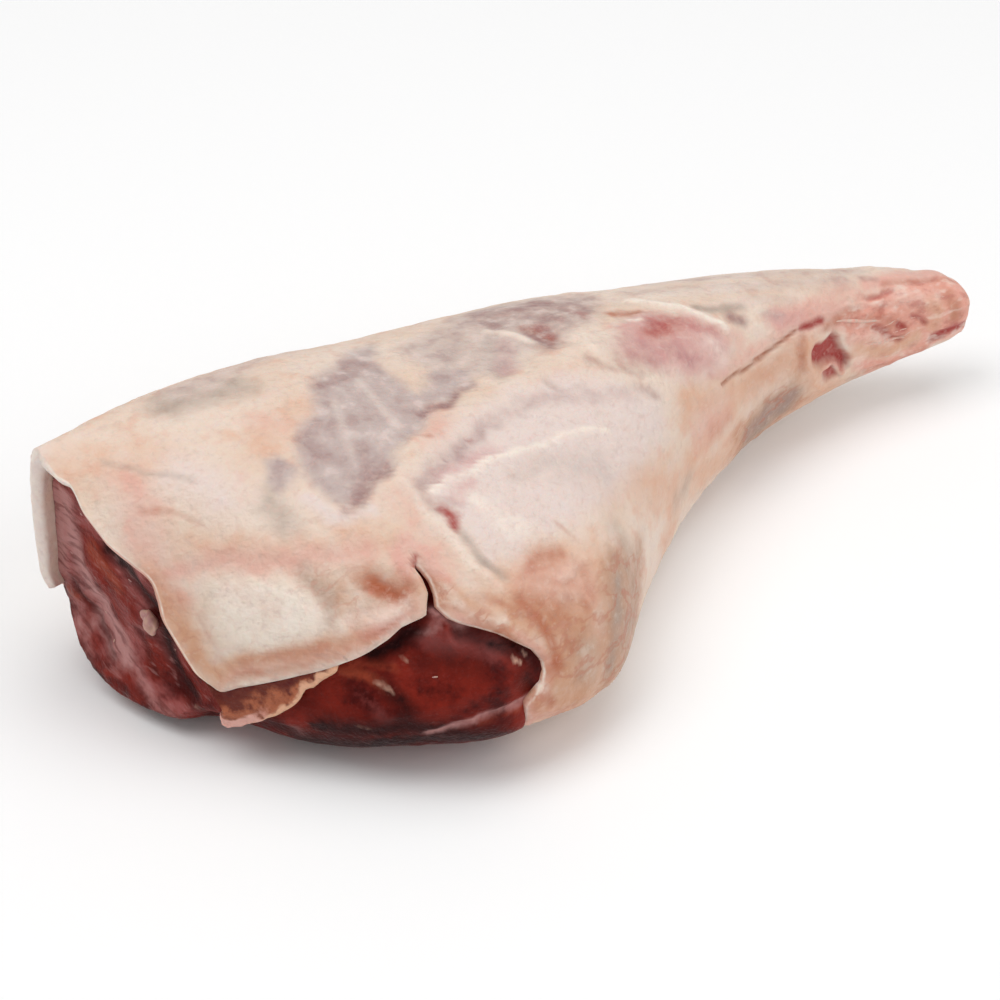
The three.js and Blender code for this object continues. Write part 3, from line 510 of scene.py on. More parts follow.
# The same on the bare meat of the side.
LEAN_MARKS = marks_of([
    ("dark", 0.4, 0, 4, 7, [(-99, 1.77), (-92, 1.8)]),
    ("fascia", 0.9, 0.3, 1.2, 2.2, [(-97, 1.64), (-94, 1.665), (-90, 1.7)]),
    ("fascia", 0.4, 0.2, 0.6, 2.2, [(-96, 1.65), (-99, 1.69), (-102, 1.71)]),
    ("violet", 0.4, 0, 3, 5, [(-101, 1.74), (-92, 1.74), (-84, 1.77)]),
    # Painted glints: small pale spots on the wet meat.
    ("fat", 0.7, 0.3, 0.2, 1.1, [(-78, 1.828), (-76, 1.848)]),
    ("fat", 0.6, 0.3, 0.2, 1.0, [(-73, 1.825), (-72, 1.84)]),
    ("fat", 0.4, 0.3, 0.3, 1.2, [(-111.5, 1.808), (-110.5, 1.812)]),
    ("fascia", 0.7, -0.8, 0.3, 1.7, [
        (-75, 2.0), (-80, 2.005), (-87, 1.99), (-97, 1.99), (-107, 2.02), (-114, 2.07)]),
    ("rust", 0.4, 0, 0.6, 2, [(-74, 2.0), (-80, 2.02), (-88, 2.005), (-97, 2.01)]),
    ("bright", 0.7, 0.6, 0, 3, [(-77, 2.03), (-85, 2.02), (-89, 2.1), (-81, 2.14), (-73, 2.12)]),
    ("rust", 1.0, 1.4, 1.2, 2.4, [(-129, 1.85), (-125, 1.86), (-121.5, 1.885)]),
    ("fat", 0.6, 0.5, 0.4, 1.4, [(-122.5, 1.883), (-120.5, 1.892)]),
    ("rust", 0.5, 0.6, 0.8, 2.4, [(-126, 1.82), (-120, 1.83), (-116, 1.84)]),
    ("violet", 0.3, 0, 1.6, 3.5, [(-128, 1.93), (-126, 2.0)]),
    ("fascia", 0.25, 0, 0.8, 3, [(-145, 2.2), (-143, 2.27)]),
    # A painted glint.
    ("fat", 0.25, 0.2, 0.5, 1.8, [(-133, 2.03), (-131, 2.04)]),
    ("bright", 0.9, 0.8, 0, 5, [(-140, 1.96), (-133, 1.95), (-134, 2.0), (-140, 2.12), (-147, 2.08)]),
    ("bright", 0.6, 0.8, 4, 8, [(-115, 1.92), (-106, 1.87), (-95, 1.86)]),
    ("bright", 0.4, 0.4, 3, 7, [(-90, 1.9), (-82, 1.93)]),
    # Painted shade in a line under the rim of fat over the oval muscle.
    ("dark", 0.75, -0.6, 1.5, 4, [(-92, 1.72), (-86, 1.75), (-79, 1.78), (-72, 1.83), (-68, 1.9)]),
    ("dark", 0.6, 0, 3, 5, [(-74, 1.9), (-72, 1.96)]),
    # Painted shade under the tip of the free flap.
    ("dark", 1.0, -1.0, 2.6, 4, [(-118, 1.79), (-109, 1.75), (-105, 1.71)]),
    ("dark", 0.8, -0.8, 2.2, 4, [(-121, 1.9), (-119, 1.93), (-122, 2.0)]),
    # Painted shade: the side is darker towards the bottom, by the floor.
    ("dark", 0.9, 0, 3, 6, [
        (-140, 2.1), (-128, 2.04), (-119, 2.02), (-110, 2.06), (-99, 2.1), (-88, 2.16)]),
    ("dark", 0.95, 0, 5, 8, [(-140, 2.35), (-124, 2.2), (-107, 2.14), (-94, 2.14)]),
    ("dark", 0.7, 0, 3, 4, [(-153, 2.0), (-150, 2.12), (-146, 2.3)]),
    ("dark", 0.4, -0.4, 1.2, 3.5, [(-108, 1.82), (-104, 1.8)]),
    ("fascia", 0.6, -1.4, 0.8, 1.8, [(-74, 2.3), (-92, 2.4), (-118, 2.6), (-150, 2.75)]),
    ("fat", 0.8, -0.8, 1.2, 2, [(-64, 3.0), (-88, 2.95), (-118, 3.0), (-156, 3.05)]),
    ("fascia", 0.6, -1.0, 0.8, 1.8, [(-80, 3.3), (-110, 3.25), (-156, 3.3)]),
    ("fat", 0.5, 0.4, 4, 4, [(-100, 2.75), (-110, 2.8)]),
    ("bright", 0.6, 0.5, 8, 10, [(-90, 2.65), (-130, 2.8)]),
    ("bright", 0.5, 0, 8, 10, [(-100, 3.1), (-145, 3.15)]),
])

# And on the rump cut, by (y, z) of the cut: seams of fascia between the muscles, red and violet meat.
FACE_MARKS = marks_of([
    ("violet", 0.5, 0, 0, 5, [(36, 90), (-20, 74), (-20, 30), (0, 20), (30, 20), (40, 60)]),
    ("fascia", 0.85, 0, 0, 3.5, [(38, 74), (32, 84), (26, 80), (28, 66), (29, 50), (32, 38), (38, 40)]),
    ("violet", 1.0, 0.4, 0, 3.5, [
        (36, 74), (27, 83), (23, 80), (25, 68), (26, 53), (29, 38), (36, 36), (38, 54)]),
    ("none", 0, 7.5, 0, 11, [(44, 17), (40, -10), (0, -10), (-24, -6), (-26, 10), (-8, 19), (20, 22)]),
    ("fascia", 1.0, -0.4, 2.8, 3.0, [
        (27, 80), (28, 68), (27, 60), (24, 51), (20, 42), (14.5, 34), (8, 28), (1, 22)]),
    ("fascia", 0.5, -0.6, 1.2, 3.2, [(15, 40), (19, 32), (20, 22)]),
    ("bright", 0.9, 0.3, 1.6, 3, [(22, 66), (18, 56), (12, 44), (5, 36)]),
    ("fascia", 0.3, -0.2, 1.2, 3, [(27, 44), (20, 34), (11, 25), (3, 16)]),
    ("dark", 0.5, -0.3, 1.4, 3, [(35, 58), (32, 50)]),
    ("bright", 1.0, 0.7, 0, 2.4, [
        (20, 68), (14, 66), (7, 58), (-1, 48), (1, 43), (9, 45), (14, 48), (18, 57)]),
    ("rust", 0.9, 0, 1.8, 3.4, [(17, 62), (11, 57), (6, 50)]),
    ("violet", 0.6, 0.3, 2.6, 4.5, [(14, 42), (4, 39), (-3, 31), (-7, 23)]),
    # A sunk seam, darkened as painted shade under the overhang of the flap's edge.
    ("dark", 0.95, -1.2, 2.4, 3.2, [
        (10, 66), (0, 60), (-8, 53), (-14, 45), (-14, 36), (-18, 26), (-25, 20)]),
    ("bright", 0.8, 0.3, 1.4, 2.4, [(0, 48), (-2, 40)]),
    ("bright", 1.0, 0.4, 0, 2.2, [(-5, 35), (-9, 36), (-14, 26), (-11, 19), (-6, 23)]),
    ("dark", 0.5, -0.4, 0.6, 2, [(-4, 36), (-7, 27), (-11, 21)]),
    ("rust", 0.9, 0.3, 1.4, 2.6, [(32, 35), (28, 34)]),
    ("dark", 0.65, -0.3, 0.9, 2, [(28, 39), (27, 37)]),
    ("fascia", 0.3, 0.3, 0, 3.5, [(32, 31), (26, 31), (19, 25), (13, 18), (16, 11), (24, 19)]),
    ("bright", 1.0, 0, 1.4, 2.4, [(24, 34), (20, 25), (14, 20)]),
    ("dark", 0.7, -0.6, 0.6, 1.8, [(30, 40), (22, 32), (14, 26), (6, 20)]),
    ("dark", 0.85, -0.5, 1.4, 2.4, [(17, 14), (10, 9)]),
    ("bright", 1.0, 0.3, 0.5, 3, [(7, 13), (-1, 17), (-8, 11), (-4, 5), (4, 6)]),
    ("violet", 0.7, 0.2, 1.2, 2.6, [(14, 20), (5, 24), (-6, 21), (-15, 10)]),
    ("violet", 0.6, 0.2, 2, 3.5, [(-8, 17), (-19, 14), (-27, 12)]),
    ("fascia", 0.4, 0, 0.8, 2.6, [(-5, 20), (-12, 12), (-20, 9)]),
    ("dark", 0.7, -0.3, 1.0, 2.2, [(-6, 5), (-14, 4)]),
    ("fat", 0.5, 0.2, 1.2, 2.2, [(-28, 16), (-31, 14)]),
])


def walk(points, spacing, closed):
    """The (x, turn) path through points, with no step longer than spacing mm."""
    points = np.array(points, float)
    ends = np.roll(points, -1, 0) if closed else points[1:]
    path = []
    for start, end in zip(points, ends):
        size = np.hypot(end[0] - start[0], (end[1] - start[1]) * ARC)
        steps = max(1, math.ceil(size / spacing))
        path += [lerp(start, end, k / steps) for k in range(steps)]
    return np.array(path if closed else path + [points[-1]])


def gap_to_path(points, path, closed):
    """Distance in mm from each point to a path, and which piece of it is nearest."""
    ends = np.roll(path, -1, 0) if closed else path[1:]
    starts = path if closed else path[:-1]
    best, piece, along = np.full(len(points), 1e18), np.zeros(len(points), int), np.zeros(len(points))
    for i, (a, b) in enumerate(zip(starts, ends)):
        ab = b - a
        t = np.clip((points - a) @ ab / max(ab @ ab, 1e-12), 0, 1)
        d = ((points - a - t[:, None] * ab) ** 2).sum(1)
        nearer = d < best
        best[nearer], piece[nearer], along[nearer] = d[nearer], i, t[nearer]
    return np.sqrt(best), piece + along


def inside_area(where, corners):
    """Whether each (x, turn) place lies inside a closed area."""
    x, turn = where.T
    result = np.zeros(len(where), bool)
    corners = np.array(corners, float)
    for (x1, t1), (x2, t2) in zip(corners, np.roll(corners, -1, 0)):
        crosses = (t1 > turn) != (t2 > turn)
        if t1 != t2:
            result ^= crosses & (x < x1 + (turn - t1) / (t2 - t1) * (x2 - x1))
    return result


def on_surface(places):
    return surface(places[:, 0], places[:, 1])


def on_cut(places):
    return np.stack([places[:, 0] * 0, places[:, 0], places[:, 1]], -1)


def draw_marks(marks, where, place, spacing=2.5):
    """Masks by name, and the height that the marks add, at each place. `place` turns places to points."""
    points = place(where)
    masks, height = {}, np.zeros(len(where))
    for mark in marks:
        closed = mark.radius == 0
        path = place(walk(mark.points, spacing, closed))
        reach = mark.radius + mark.soft + 1
        near = ((points > path.min(0) - reach) & (points < path.max(0) + reach)).all(1)
        if not near.any():
            continue
        gap = gap_to_path(points[near], path, closed)[0]
        if closed:
            gap = np.where(inside_area(where[near], mark.points), gap, -gap)
            value = smoothstep(gap, -mark.soft, mark.soft)
        else:
            value = 1 - smoothstep(gap, max(mark.radius - mark.soft, 0), mark.radius + mark.soft)
        height[near] += mark.height * value
        if mark.amount:
            mask = masks.setdefault(mark.mask, np.zeros(len(where)))
            if mark.amount > 0:
                mask[near] = np.maximum(mask[near], mark.amount * value)
            else:
                mask[near] *= 1 + mark.amount * value
    return masks, height


def wander(where, points, mm):
    """Shifts places a little, so that no mark has a ruled edge."""
    shift = np.stack([WANDER_X(points, 9) + 0.5 * WANDER_X(points, 3.5),
                      (WANDER_TURN(points, 9) + 0.5 * WANDER_TURN(points, 3.5)) / ARC], -1)
    return where + mm * shift


# ---- Meshes ---------------------------------------------------------------------------------


def boundary_loops(faces):
    """Closed loops of vertices along the free edges of a sheet."""
    edges = set()
    for face in faces:
        edges.update(zip(face, face[1:] + face[:1]))
    follow = {a: b for a, b in edges if (b, a) not in edges}
    loops = []
    while follow:
        start = min(follow)
        loop = [start]
        while (after := follow.pop(loop[-1])) != start:
            loop.append(after)
        loops.append(loop)
    return loops


def close_sheet(outer, inner, faces, rows, bulge, lining=None):
    """A watertight slab from a sheet's outer and inner points, with a rounded rim of `rows` rows.

    `lining` gives for each vertex the one that stands for it on the hidden inner side, to make that side
    coarse. Returns points, faces and, for each point, the sheet vertex it copies and how far down the rim
    it is."""
    count = len(outer)
    points = [outer, inner]
    source, rim = [np.arange(count)] * 2, [np.zeros(count)] * 2
    shell = list(faces)
    for face in faces:
        back = [int(v if lining is None else lining[v]) + count for v in reversed(face)]
        back = [v for k, v in enumerate(back) if v != back[k - 1]]
        if len(set(back)) > 2:
            shell.append(tuple(back))
    total = 2 * count
    for loop in boundary_loops(faces):
        ids = np.array(loop)
        a, b = outer[ids], inner[ids]
        tangent = np.roll(a, -1, 0) - np.roll(a, 1, 0)
        out = np.cross(tangent, a - b)
        out /= np.linalg.norm(out, axis=1, keepdims=True) + 1e-9
        thick = np.linalg.norm(a - b, axis=1, keepdims=True)
        previous = ids
        for row in range(1, rows + 1):
            t = row / (rows + 1)
            points.append(lerp(a, b, t) + out * thick * bulge * math.sin(math.pi * t))
            source.append(ids)
            rim.append(np.full(len(ids), t))
            current = np.arange(total, total + len(ids))
            total += len(ids)
            shell += stitch(previous, current)
            previous = current
        shell += stitch(previous, ids + count)
    used, _, shell = drop_unused(shell, total)
    return np.concatenate(points)[used], shell, np.concatenate(source)[used], np.concatenate(rim)[used]


def stitch(upper, lower):
    """Quads between two closed loops of vertices of the same length, facing away from a sheet."""
    upper, lower = list(map(int, upper)), list(map(int, lower))
    around = zip(upper, upper[1:] + upper[:1], lower[1:] + lower[:1], lower)
    return [(b, a, d, c) for a, b, c, d in around]


def close_rings(rings, count, first, last):
    """Faces of a closed body: rings of `count` vertices each, then fans to the vertices first and last."""
    faces = []
    for i in range(rings - 1):
        upper = np.arange(i * count, (i + 1) * count)
        faces += stitch(upper, upper + count)
    tail = (rings - 1) * count
    faces += [(first, j, (j + 1) % count) for j in range(count)]
    faces += [(last, tail + (j + 1) % count, tail + j) for j in range(count)]
    return faces


def grid(rings, across):
    """Every pairing of the two rows of values, ring by ring."""
    return (a.ravel() for a in np.meshgrid(rings, across, indexing="ij"))


def drop_unused(faces, total):
    """The vertices that faces use, the new number of each of `total` old ones, and the renumbered faces."""
    used = np.unique(np.concatenate([np.array(face) for face in faces]))
    renumber = np.full(total, -1)
    renumber[used] = np.arange(len(used))
    return used, renumber, [tuple(int(renumber[v]) for v in face) for face in faces]


def make_piece(name, points, faces, masks, material):
    """A smooth mesh piece of the leg from points in mm, which rides on the root body."""
    mesh = bpy.data.meshes.new(name)
    mesh.from_pydata(((points + SHIFT) * MM).tolist(), [], faces)
    for mask, values in masks.items():
        layer = mesh.attributes.new(mask, "FLOAT", "POINT")
        layer.data.foreach_set("value", np.clip(values, 0, 1).astype(np.float32))
    mesh.polygons.foreach_set("use_smooth", [True] * len(mesh.polygons))
    mesh.validate()
    mesh.update()
    mesh.materials.append(material)
    piece = bpy.data.objects.new(name, mesh)
    bpy.context.scene.collection.objects.link(piece)
    return finish_piece(piece)


def finish_piece(piece):
    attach(piece, "root")
    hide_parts(NODE)
    return piece


# ---- Fat cover ------------------------------------------------------------------------------


def bare_turn(turn):
    return np.where(turn < 0.5, turn + 4, turn)


BARE_PATH = walk(BARE, 1.0, True)


def gap_to_bare(x, turn):
    """Distance in mm to the edge of the bare meat: positive under the cover, negative on bare meat."""
    gap, _ = gap_to_path(surface(x, turn), on_surface(BARE_PATH), True)
    return np.where(inside_area(np.stack([x, bare_turn(turn)], -1), BARE), -gap, gap)


def cover_thickness(x, turn, sizes):
    signed = np.where(turn > 3, turn - 4, turn)
    back = 1 - smoothstep(signed, 1.06, 1.24)
    back = back * (1 - smoothstep(x, -60, -20))
    back = back * lerp(0.45, 1, np.maximum(smoothstep(signed, -0.3, 0.5), smoothstep(x, -150, -120)))
    thin = lerp(sizes.flap_fat, sizes.thigh_fat, smoothstep(x, -150, -100)) / MM
    return lerp(thin, sizes.back_fat / MM, back)


def fat_field(x, turn, sizes):
    """Masks and outward height of the fat cover at each place."""
    where = np.stack([x, turn], -1)
    points = surface(x, turn)
    masks, height = draw_marks(FAT_MARKS, wander(where, points, 1.3), on_surface)
    flesh, window = (masks.get(name, 0 * x) for name in ("flesh", "window"))
    bump = sizes.lumps / MM
    # Noise of a height, mm, and the width of its lumps: soft lumps, torn flesh, muscle grain, wrinkles.
    height = height + bump * (LUMPS(points, 30) + 0.45 * LUMPS(points, 13) + 0.2 * RIPPLES(points, 6))
    height += flesh * (0.7 * RIPPLES(points, (9, 3.2, 3.2)) + 0.45 * SPECKS(points, (5, 2, 2)))
    height += window * 0.35 * RIPPLES(points @ DIAGONAL, (3.2, 14, 14))
    wrinkle = 1 - np.abs(RIPPLES(points, (16, 5, 5)))
    height += 0.35 * smoothstep(wrinkle, 0.8, 1.0) * (1 - 0.6 * flesh)
    return masks, height


def raise_mask(masks, name, values):
    masks[name] = np.maximum(masks[name], values)


# axes of the grain of the muscle that shows through the window, askew to the leg
DIAGONAL = np.array([[0.6, 0.5, 0.62], [0.8, -0.4, -0.45], [0, 0.77, -0.64]]).T

VISIBLE_TURNS = (-0.15, 2.5)
# spacing of the cover's rings in mesh steps
RING_STEP = curve([(RUMP, 1.0), (-106, 1.0), (-104, 0.85), (-90, 0.85), (-88, 1.0), (-50, 1.05), (60, 1.25),
                   (118, 1.25), (124, 1.0), (HOCK, 1.0)])


def spread(start, end, step_at):
    places = [start]
    while places[-1] + 1.4 * step_at(places[-1]) < end:
        places.append(places[-1] + float(step_at(places[-1])))
    return np.array(places + [end])


BLOCK = 4  # cells of the cover that one cell of its lining spans
LINED_FROM = 7  # mm from the bare meat at which the coarse lining may begin
HIDDEN_STEP = 0.05  # turns between the points of a ring where it is hidden
COARSE_FROM = 70  # x from which every other point of a ring is left out
OVERHANG_RUN = 22  # mm of the rump end over which the cover's overhang fades
EDGE_REACH = 3.5  # mm from the edge within which the free points of the cover settle on it


def cover_sheet(sizes):
    """Places (x, turn), faces and lining of the trimmed cover, its edge on the edge of the bare meat."""
    fine = sizes.mesh_step
    rings = spread(RUMP, HOCK, lambda x: RING_STEP(x) * fine / MM)
    low, high = VISIBLE_TURNS
    seen = np.arange(low, high, 12 * fine)
    hidden = np.arange(high, low + 4, HIDDEN_STEP)
    turns = np.concatenate([seen, hidden])
    turns = turns[: len(turns) // BLOCK * BLOCK]
    count = len(turns)
    halving = int(np.searchsorted(rings, COARSE_FROM))
    x, turn = grid(rings, turns)
    x = x - COVER_OVERHANG(turn) * (1 - smoothstep(x, RUMP, RUMP + OVERHANG_RUN))
    gap = gap_to_bare(x, turn)
    keep = gap > 0
    faces = []
    for i in range(len(rings) - 1):
        top, bottom = i * count, (i + 1) * count
        hop = 2 if i >= halving else 1
        for j in range(0, count, 2 if i >= halving - 1 else 1):
            if i == halving - 1:
                a, b, c = top + j, top + j + 1, top + (j + 2) % count
                d, e = bottom + (j + 2) % count, bottom + j
                faces += [(a, b, e), (b, c, d), (b, d, e)]
            else:
                k = (j + hop) % count
                face = (top + j, top + k, bottom + k, bottom + j)
                held = [v for v in face if keep[v]]
                if len(held) >= 3:
                    faces.append(tuple(held))
    i, j = np.divmod(np.arange(len(x)), count)
    deep = (gap > LINED_FROM) & (i > 4) & (i < len(rings) - 6)
    home = i // BLOCK * (count // BLOCK) + j // BLOCK
    whole = np.bincount(home, deep, home.max() + 1)[home] == BLOCK ** 2
    lining = np.where(whole, i // BLOCK * BLOCK * count + j // BLOCK * BLOCK, np.arange(len(x)))
    used, renumber, faces = drop_unused(faces, len(x))
    x, turn, lining = x[used], turn[used], renumber[lining[used]]
    for loop in boundary_loops(faces):
        settle_on_edge(np.array(loop), x, turn)
    return x, turn, faces, lining


def settle_on_edge(loop, x, turn):
    """Moves the part of a boundary loop that runs along the bare meat onto its edge, evenly spaced."""
    path = on_surface(BARE_PATH)
    gap, at = gap_to_path(surface(x[loop], turn[loop]), path, True)
    rump_edge = x[loop] + COVER_OVERHANG(turn[loop]) < RUMP + 0.1
    free = (gap < EDGE_REACH) & ~rump_edge
    if not free.any():
        return
    first = np.flatnonzero(free & ~np.roll(free, 1))[0]
    order = np.roll(np.arange(len(loop)), -first)
    run = order[: int(free.sum())]
    at = at[run]
    size = len(BARE_PATH)
    at = at[0] + np.concatenate([[0], np.cumsum((np.diff(at) + size / 2) % size - size / 2)])
    for _ in range(6):  # evens out their spacing
        at[1:-1] = 0.5 * at[1:-1] + 0.25 * (at[:-2] + at[2:])
    whole = np.floor(at).astype(int)
    part = (at - whole)[:, None]
    place = lerp(BARE_PATH[whole % size], BARE_PATH[(whole + 1) % size], part)
    x[loop[run]] = place[:, 0]
    turn[loop[run]] = np.where(place[:, 1] > VISIBLE_TURNS[0] + 4, place[:, 1] - 4, place[:, 1])


# ---- Lean meat ------------------------------------------------------------------------------

UNDERCUT = 12.0  # depth of the hollow under the flap
SLIT_AT, SLIT_DEPTH = (-96, 1.57), 10  # the middle of the slit and how deep one looks into it
OVAL_SINK = 4.0  # the bare oval muscle lies this far inside its rim of fat
RUMP_RECESS = 5.0  # the cut meat lies this far inside the edge of its cover
# width of the rounded rim of the cut face, by turn
face_round = curve([(1.4, 12), (2.0, 9), (2.4, 5), (2.8, 3.5), (3.8, 3.5), (4.2, 5), (5.0, 7), (5.4, 12)])
FACE_CENTRE = (10.0, 50.0)
FACE_LEAD = 5.5  # mm that the cut face stands before the first ring of the side
MEAT_SHORT = 9  # mm that the meat ends before the hock
FACE_ROWS, RIM_ROWS = 56, 8  # rings over the cut face and over its rounded rim


def within(value, start, end, soft):
    return smoothstep(value, start - soft, start) * (1 - smoothstep(value, end, end + soft))


def undercut(x, turn):
    """1 where the flap hangs free over the hollow, 0 elsewhere."""
    across = within(turn - cover_edge(x), -0.13, 0.12, 0.17)
    return across * (1 - smoothstep(x, -109, -94))


def lean_depth(x, turn, sizes, fat_height):
    """How deep the meat lies below the leg's outer surface."""
    gap = gap_to_bare(x, turn)
    covered = 0.6 * cover_thickness(x, turn, sizes) + np.maximum(0, -fat_height) + 0.6
    edge = cover_edge(x)
    oval = within(x, -92, -74, 12) * within(turn, edge - 0.02, edge + 0.2, 0.25)
    rim = 1 - smoothstep(-gap, 0, 14)
    bare = 0.8 + OVAL_SINK * oval * (0.35 + 0.65 * rim)
    depth = lerp(bare, covered + 2.5 * smoothstep(x, 60, 100), smoothstep(gap, -1.0, 2.5))
    # Under the belly the meat is fuller at the rump.
    depth = depth - 2.8 * within(bare_turn(turn), 2.85, 3.6, 0.3) * (1 - smoothstep(x, -150, -128))
    slit = np.exp(-((x - SLIT_AT[0]) ** 2 + ((turn - SLIT_AT[1]) * ARC) ** 2 / 3) / 16)
    return np.maximum(np.maximum(depth, UNDERCUT * undercut(x, turn)), SLIT_DEPTH * slit)


def meat_relief(x, turn, sizes):
    """Depth of the lumpy meat below the outer surface, the masks of its marks, and how bare it is."""
    outside = surface(x, turn)
    masks, height = draw_marks(LEAN_MARKS, wander(np.stack([x, turn], -1), outside, 1.2), on_surface)
    bare = 1 - smoothstep(gap_to_bare(x, turn), -2, 1)
    bulge = 1.6 * LUMPS(outside, 24) + 0.7 * RIPPLES(outside, (14, 7, 7))
    bulge += 0.3 * SPECKS(outside, (7, 2.5, 2.5))
    depth = lean_depth(x, turn, sizes, fat_field(x, turn, sizes)[1])
    return depth - bare * (height + bulge), masks, bare


def lean_sheet(sizes):
    """Points, faces and masks of the closed body of meat."""
    # from turn to turn in steps: finest where the meat is bare, coarsest under the cover
    bands = (1.4, 2.5, 0.0125), (2.5, 3.7, 0.03), (3.7, 5.4, 0.045)
    turns = np.concatenate([np.arange(*band) for band in bands])
    count = len(turns)
    step = curve([(RUMP, 1.05), (-62, 1.1), (-50, 4), (0, 8), (HOCK, 10)])
    rings = spread(RUMP + RUMP_RECESS + 5, HOCK - MEAT_SHORT, step)
    x, turn = grid(rings, turns)
    signed = np.where(turn > 4, turn - 4, turn)
    depth, masks, bare = meat_relief(x, signed, sizes)
    # The low front corner of the rump is rounded off, and covered meat stays off the floor.
    depth += 5.5 * within(turn, 2.28, 2.6, 0.16) * (1 - smoothstep(x, -151, -140))
    side = inward(x, signed, depth)
    side[:, 2] = np.maximum(side[:, 2], 1.0 - bare)
    side = side.reshape(len(rings), count, 3)

    # The rounded rim of the cut, then rings to its centre.
    inset = inward(np.full(count, rings[0]), turns, depth[:count] + face_round(turns))
    rim = []
    for k in range(1, RIM_ROWS + 1):
        angle = k / RIM_ROWS * math.pi / 2
        ring = lerp(side[0], inset, 1 - math.cos(angle))
        ring[:, 0] -= FACE_LEAD * math.sin(angle)
        rim.append(ring)
    rows = FACE_ROWS
    middle = np.array([0, *FACE_CENTRE])
    cut = []
    for k in range(1, rows + 1):
        ring = lerp(rim[-1], middle, k / (rows + 0.5))
        ring[:, 0] = face_x(ring[:, 1])
        cut.append(ring)
    centre = np.array([face_x(FACE_CENTRE[0]), *FACE_CENTRE])
    # Rings from the centre of the cut outwards, then along the leg.
    stack = [*cut[::-1], *rim[::-1], *side]
    points = np.concatenate([*stack, centre[None]])
    face_count = (rows + len(rim)) * count
    cut_points = points[:face_count]
    shift = np.stack([WANDER_X(cut_points, 8), WANDER_TURN(cut_points, 8)], -1)
    cut_masks, cut_height = draw_marks(FACE_MARKS, cut_points[:, 1:] + 1.1 * shift, on_cut, spacing=4)
    on_face = np.concatenate([np.ones(rows * count), np.repeat(np.linspace(1, 0, len(rim)), count)])
    lumps = 1.5 * LUMPS(cut_points, 17) + 0.6 * RIPPLES(cut_points, 6) + 0.25 * SPECKS(cut_points, 2.6)
    points[:face_count, 0] -= on_face * (cut_height + lumps)

    def over_rim(values):
        """The side's first ring of a mask, fading over the rim of the cut."""
        return np.tile(values[:count], rows + len(rim)) * (1 - on_face)

    # The last two values of a mask are those of the cut's centre and of the closed far end.
    blended = {}
    for name in sorted(set(masks) | set(cut_masks)):
        part = cut_masks.get(name, np.zeros(face_count)) * on_face
        along = masks.get(name, np.zeros(len(x)))
        blended[name] = np.concatenate([np.maximum(part, over_rim(along)), along, [0, 0]])
    blended["cut"] = np.concatenate([on_face, np.zeros(len(x)), [1, 0]])
    # Painted shade: the meat in the hollow under the free flap is darkened, fading out away from the cover.
    hidden = undercut(x, signed) * smoothstep(gap_to_bare(x, signed), -9, 2)
    blended["deep"] = np.concatenate([over_rim(hidden), hidden, [0, 0]])

    hub = len(points) - 1
    points = np.concatenate([points, [points[hub - count: hub].mean(0)]])
    return points, close_rings(len(stack), count, hub, hub + 1), blended


def face_x(y):
    """x of the plane of the rump cut."""
    x0 = RUMP + RUMP_RECESS - 0.5
    return x0 - slant_at(x0) * (y - SLANT_PIVOT)


# ---- Materials ------------------------------------------------------------------------------

COLOURS = {
    "cream_fat": ("E6D2BF", "Fat of the cover"),
    "ivory_fat": ("ECDDCE", "Thickest, whitest fat"),
    "peach_fat": ("DFAE90", "Fat stained by meat juice"),
    "blush_fat": ("E3ADA0", "Pink fat next to meat"),
    "white_fell": ("F6E8DB", "Pinkish-white skin, stretched"),
    "lilac_membrane": ("E5D3CC", "Membrane over the thigh"),
    "grey_window": ("C3B0AA", "Muscle behind thin skin"),
    # This purple also darkens the underside of the shank as painted shade.
    "purple_skin_and_shade": ("98716E", "Dark muscle behind thin skin, and painted shade"),
    "rosy_muscle": ("D29C98", "Rosy muscle behind membrane"),
    # This grey is grey fat in some marks and painted shade in others: down the right side and the bottom of
    # the thigh's bulge and under the shank.
    "grey_shade": ("A7968A", "Grey fat and painted shade"),
    # This orange-brown also darkens sunk folds and creases as painted shade.
    "rust_fat_and_crease_shade": ("B0603F", "Dried, orange-brown fat, and painted shade in creases"),
    # This tan is also laid under the painted shade of the bulge's right side and of the shank's underside.
    "tan_fat": ("C18965", "Fat tanned by the air, and painted shade"),
    "torn_flesh": ("EAAA9A", "Torn flesh of the shank"),
    "blood": ("A63C36", "Blood spots"),
    "lean_red": ("58100B", "Lean meat"),
    "bright_lean": ("822418", "Fresh, brighter lean meat"),
    # This darkest red is also painted shade: in the hollow under the flap, under the oval muscle's rim, low
    # on the side by the floor and under the flap's edge on the rump cut.
    "dark_lean_and_shade": ("270404", "Darkest lean meat, and painted shade"),
    "violet_lean": ("A65C59", "Meat dried violet"),
    "rust_lean": ("99402A", "Orange-brown lean meat"),
    "fascia": ("BC8884", "Silvery skin between muscles"),
    # This pale fat colour also paints the glints on the bare meat.
    "meat_fat": ("C9A08C", "Fat between muscles, and painted glints"),
    # The flank muscle is dark brown where it lies in painted shade under the flap, and tan lower down.
    "flank_brown": ("6A2A1C", "Thin flank muscle"),
    "flank_tan": ("AE6344", "Lower part of the flank muscle, out of the painted shade"),
    "flank_pale": ("E2AE8E", "Pale edge of the flank muscle"),
    "cartilage": ("DCC3B4", "Joint cartilage"),
    "sinew": ("DDBCAC", "Sinews"),
    "floor": ("FEFEFE", "Floor"),
}


def linear(hex_colour):
    """An sRGB hex colour as linear RGBA."""
    parts = [int(hex_colour[i:i + 2], 16) / 255 for i in (0, 2, 4)]
    return [p / 12.92 if p <= 0.04045 else ((p + 0.055) / 1.055) ** 2.4 for p in parts] + [1.0]


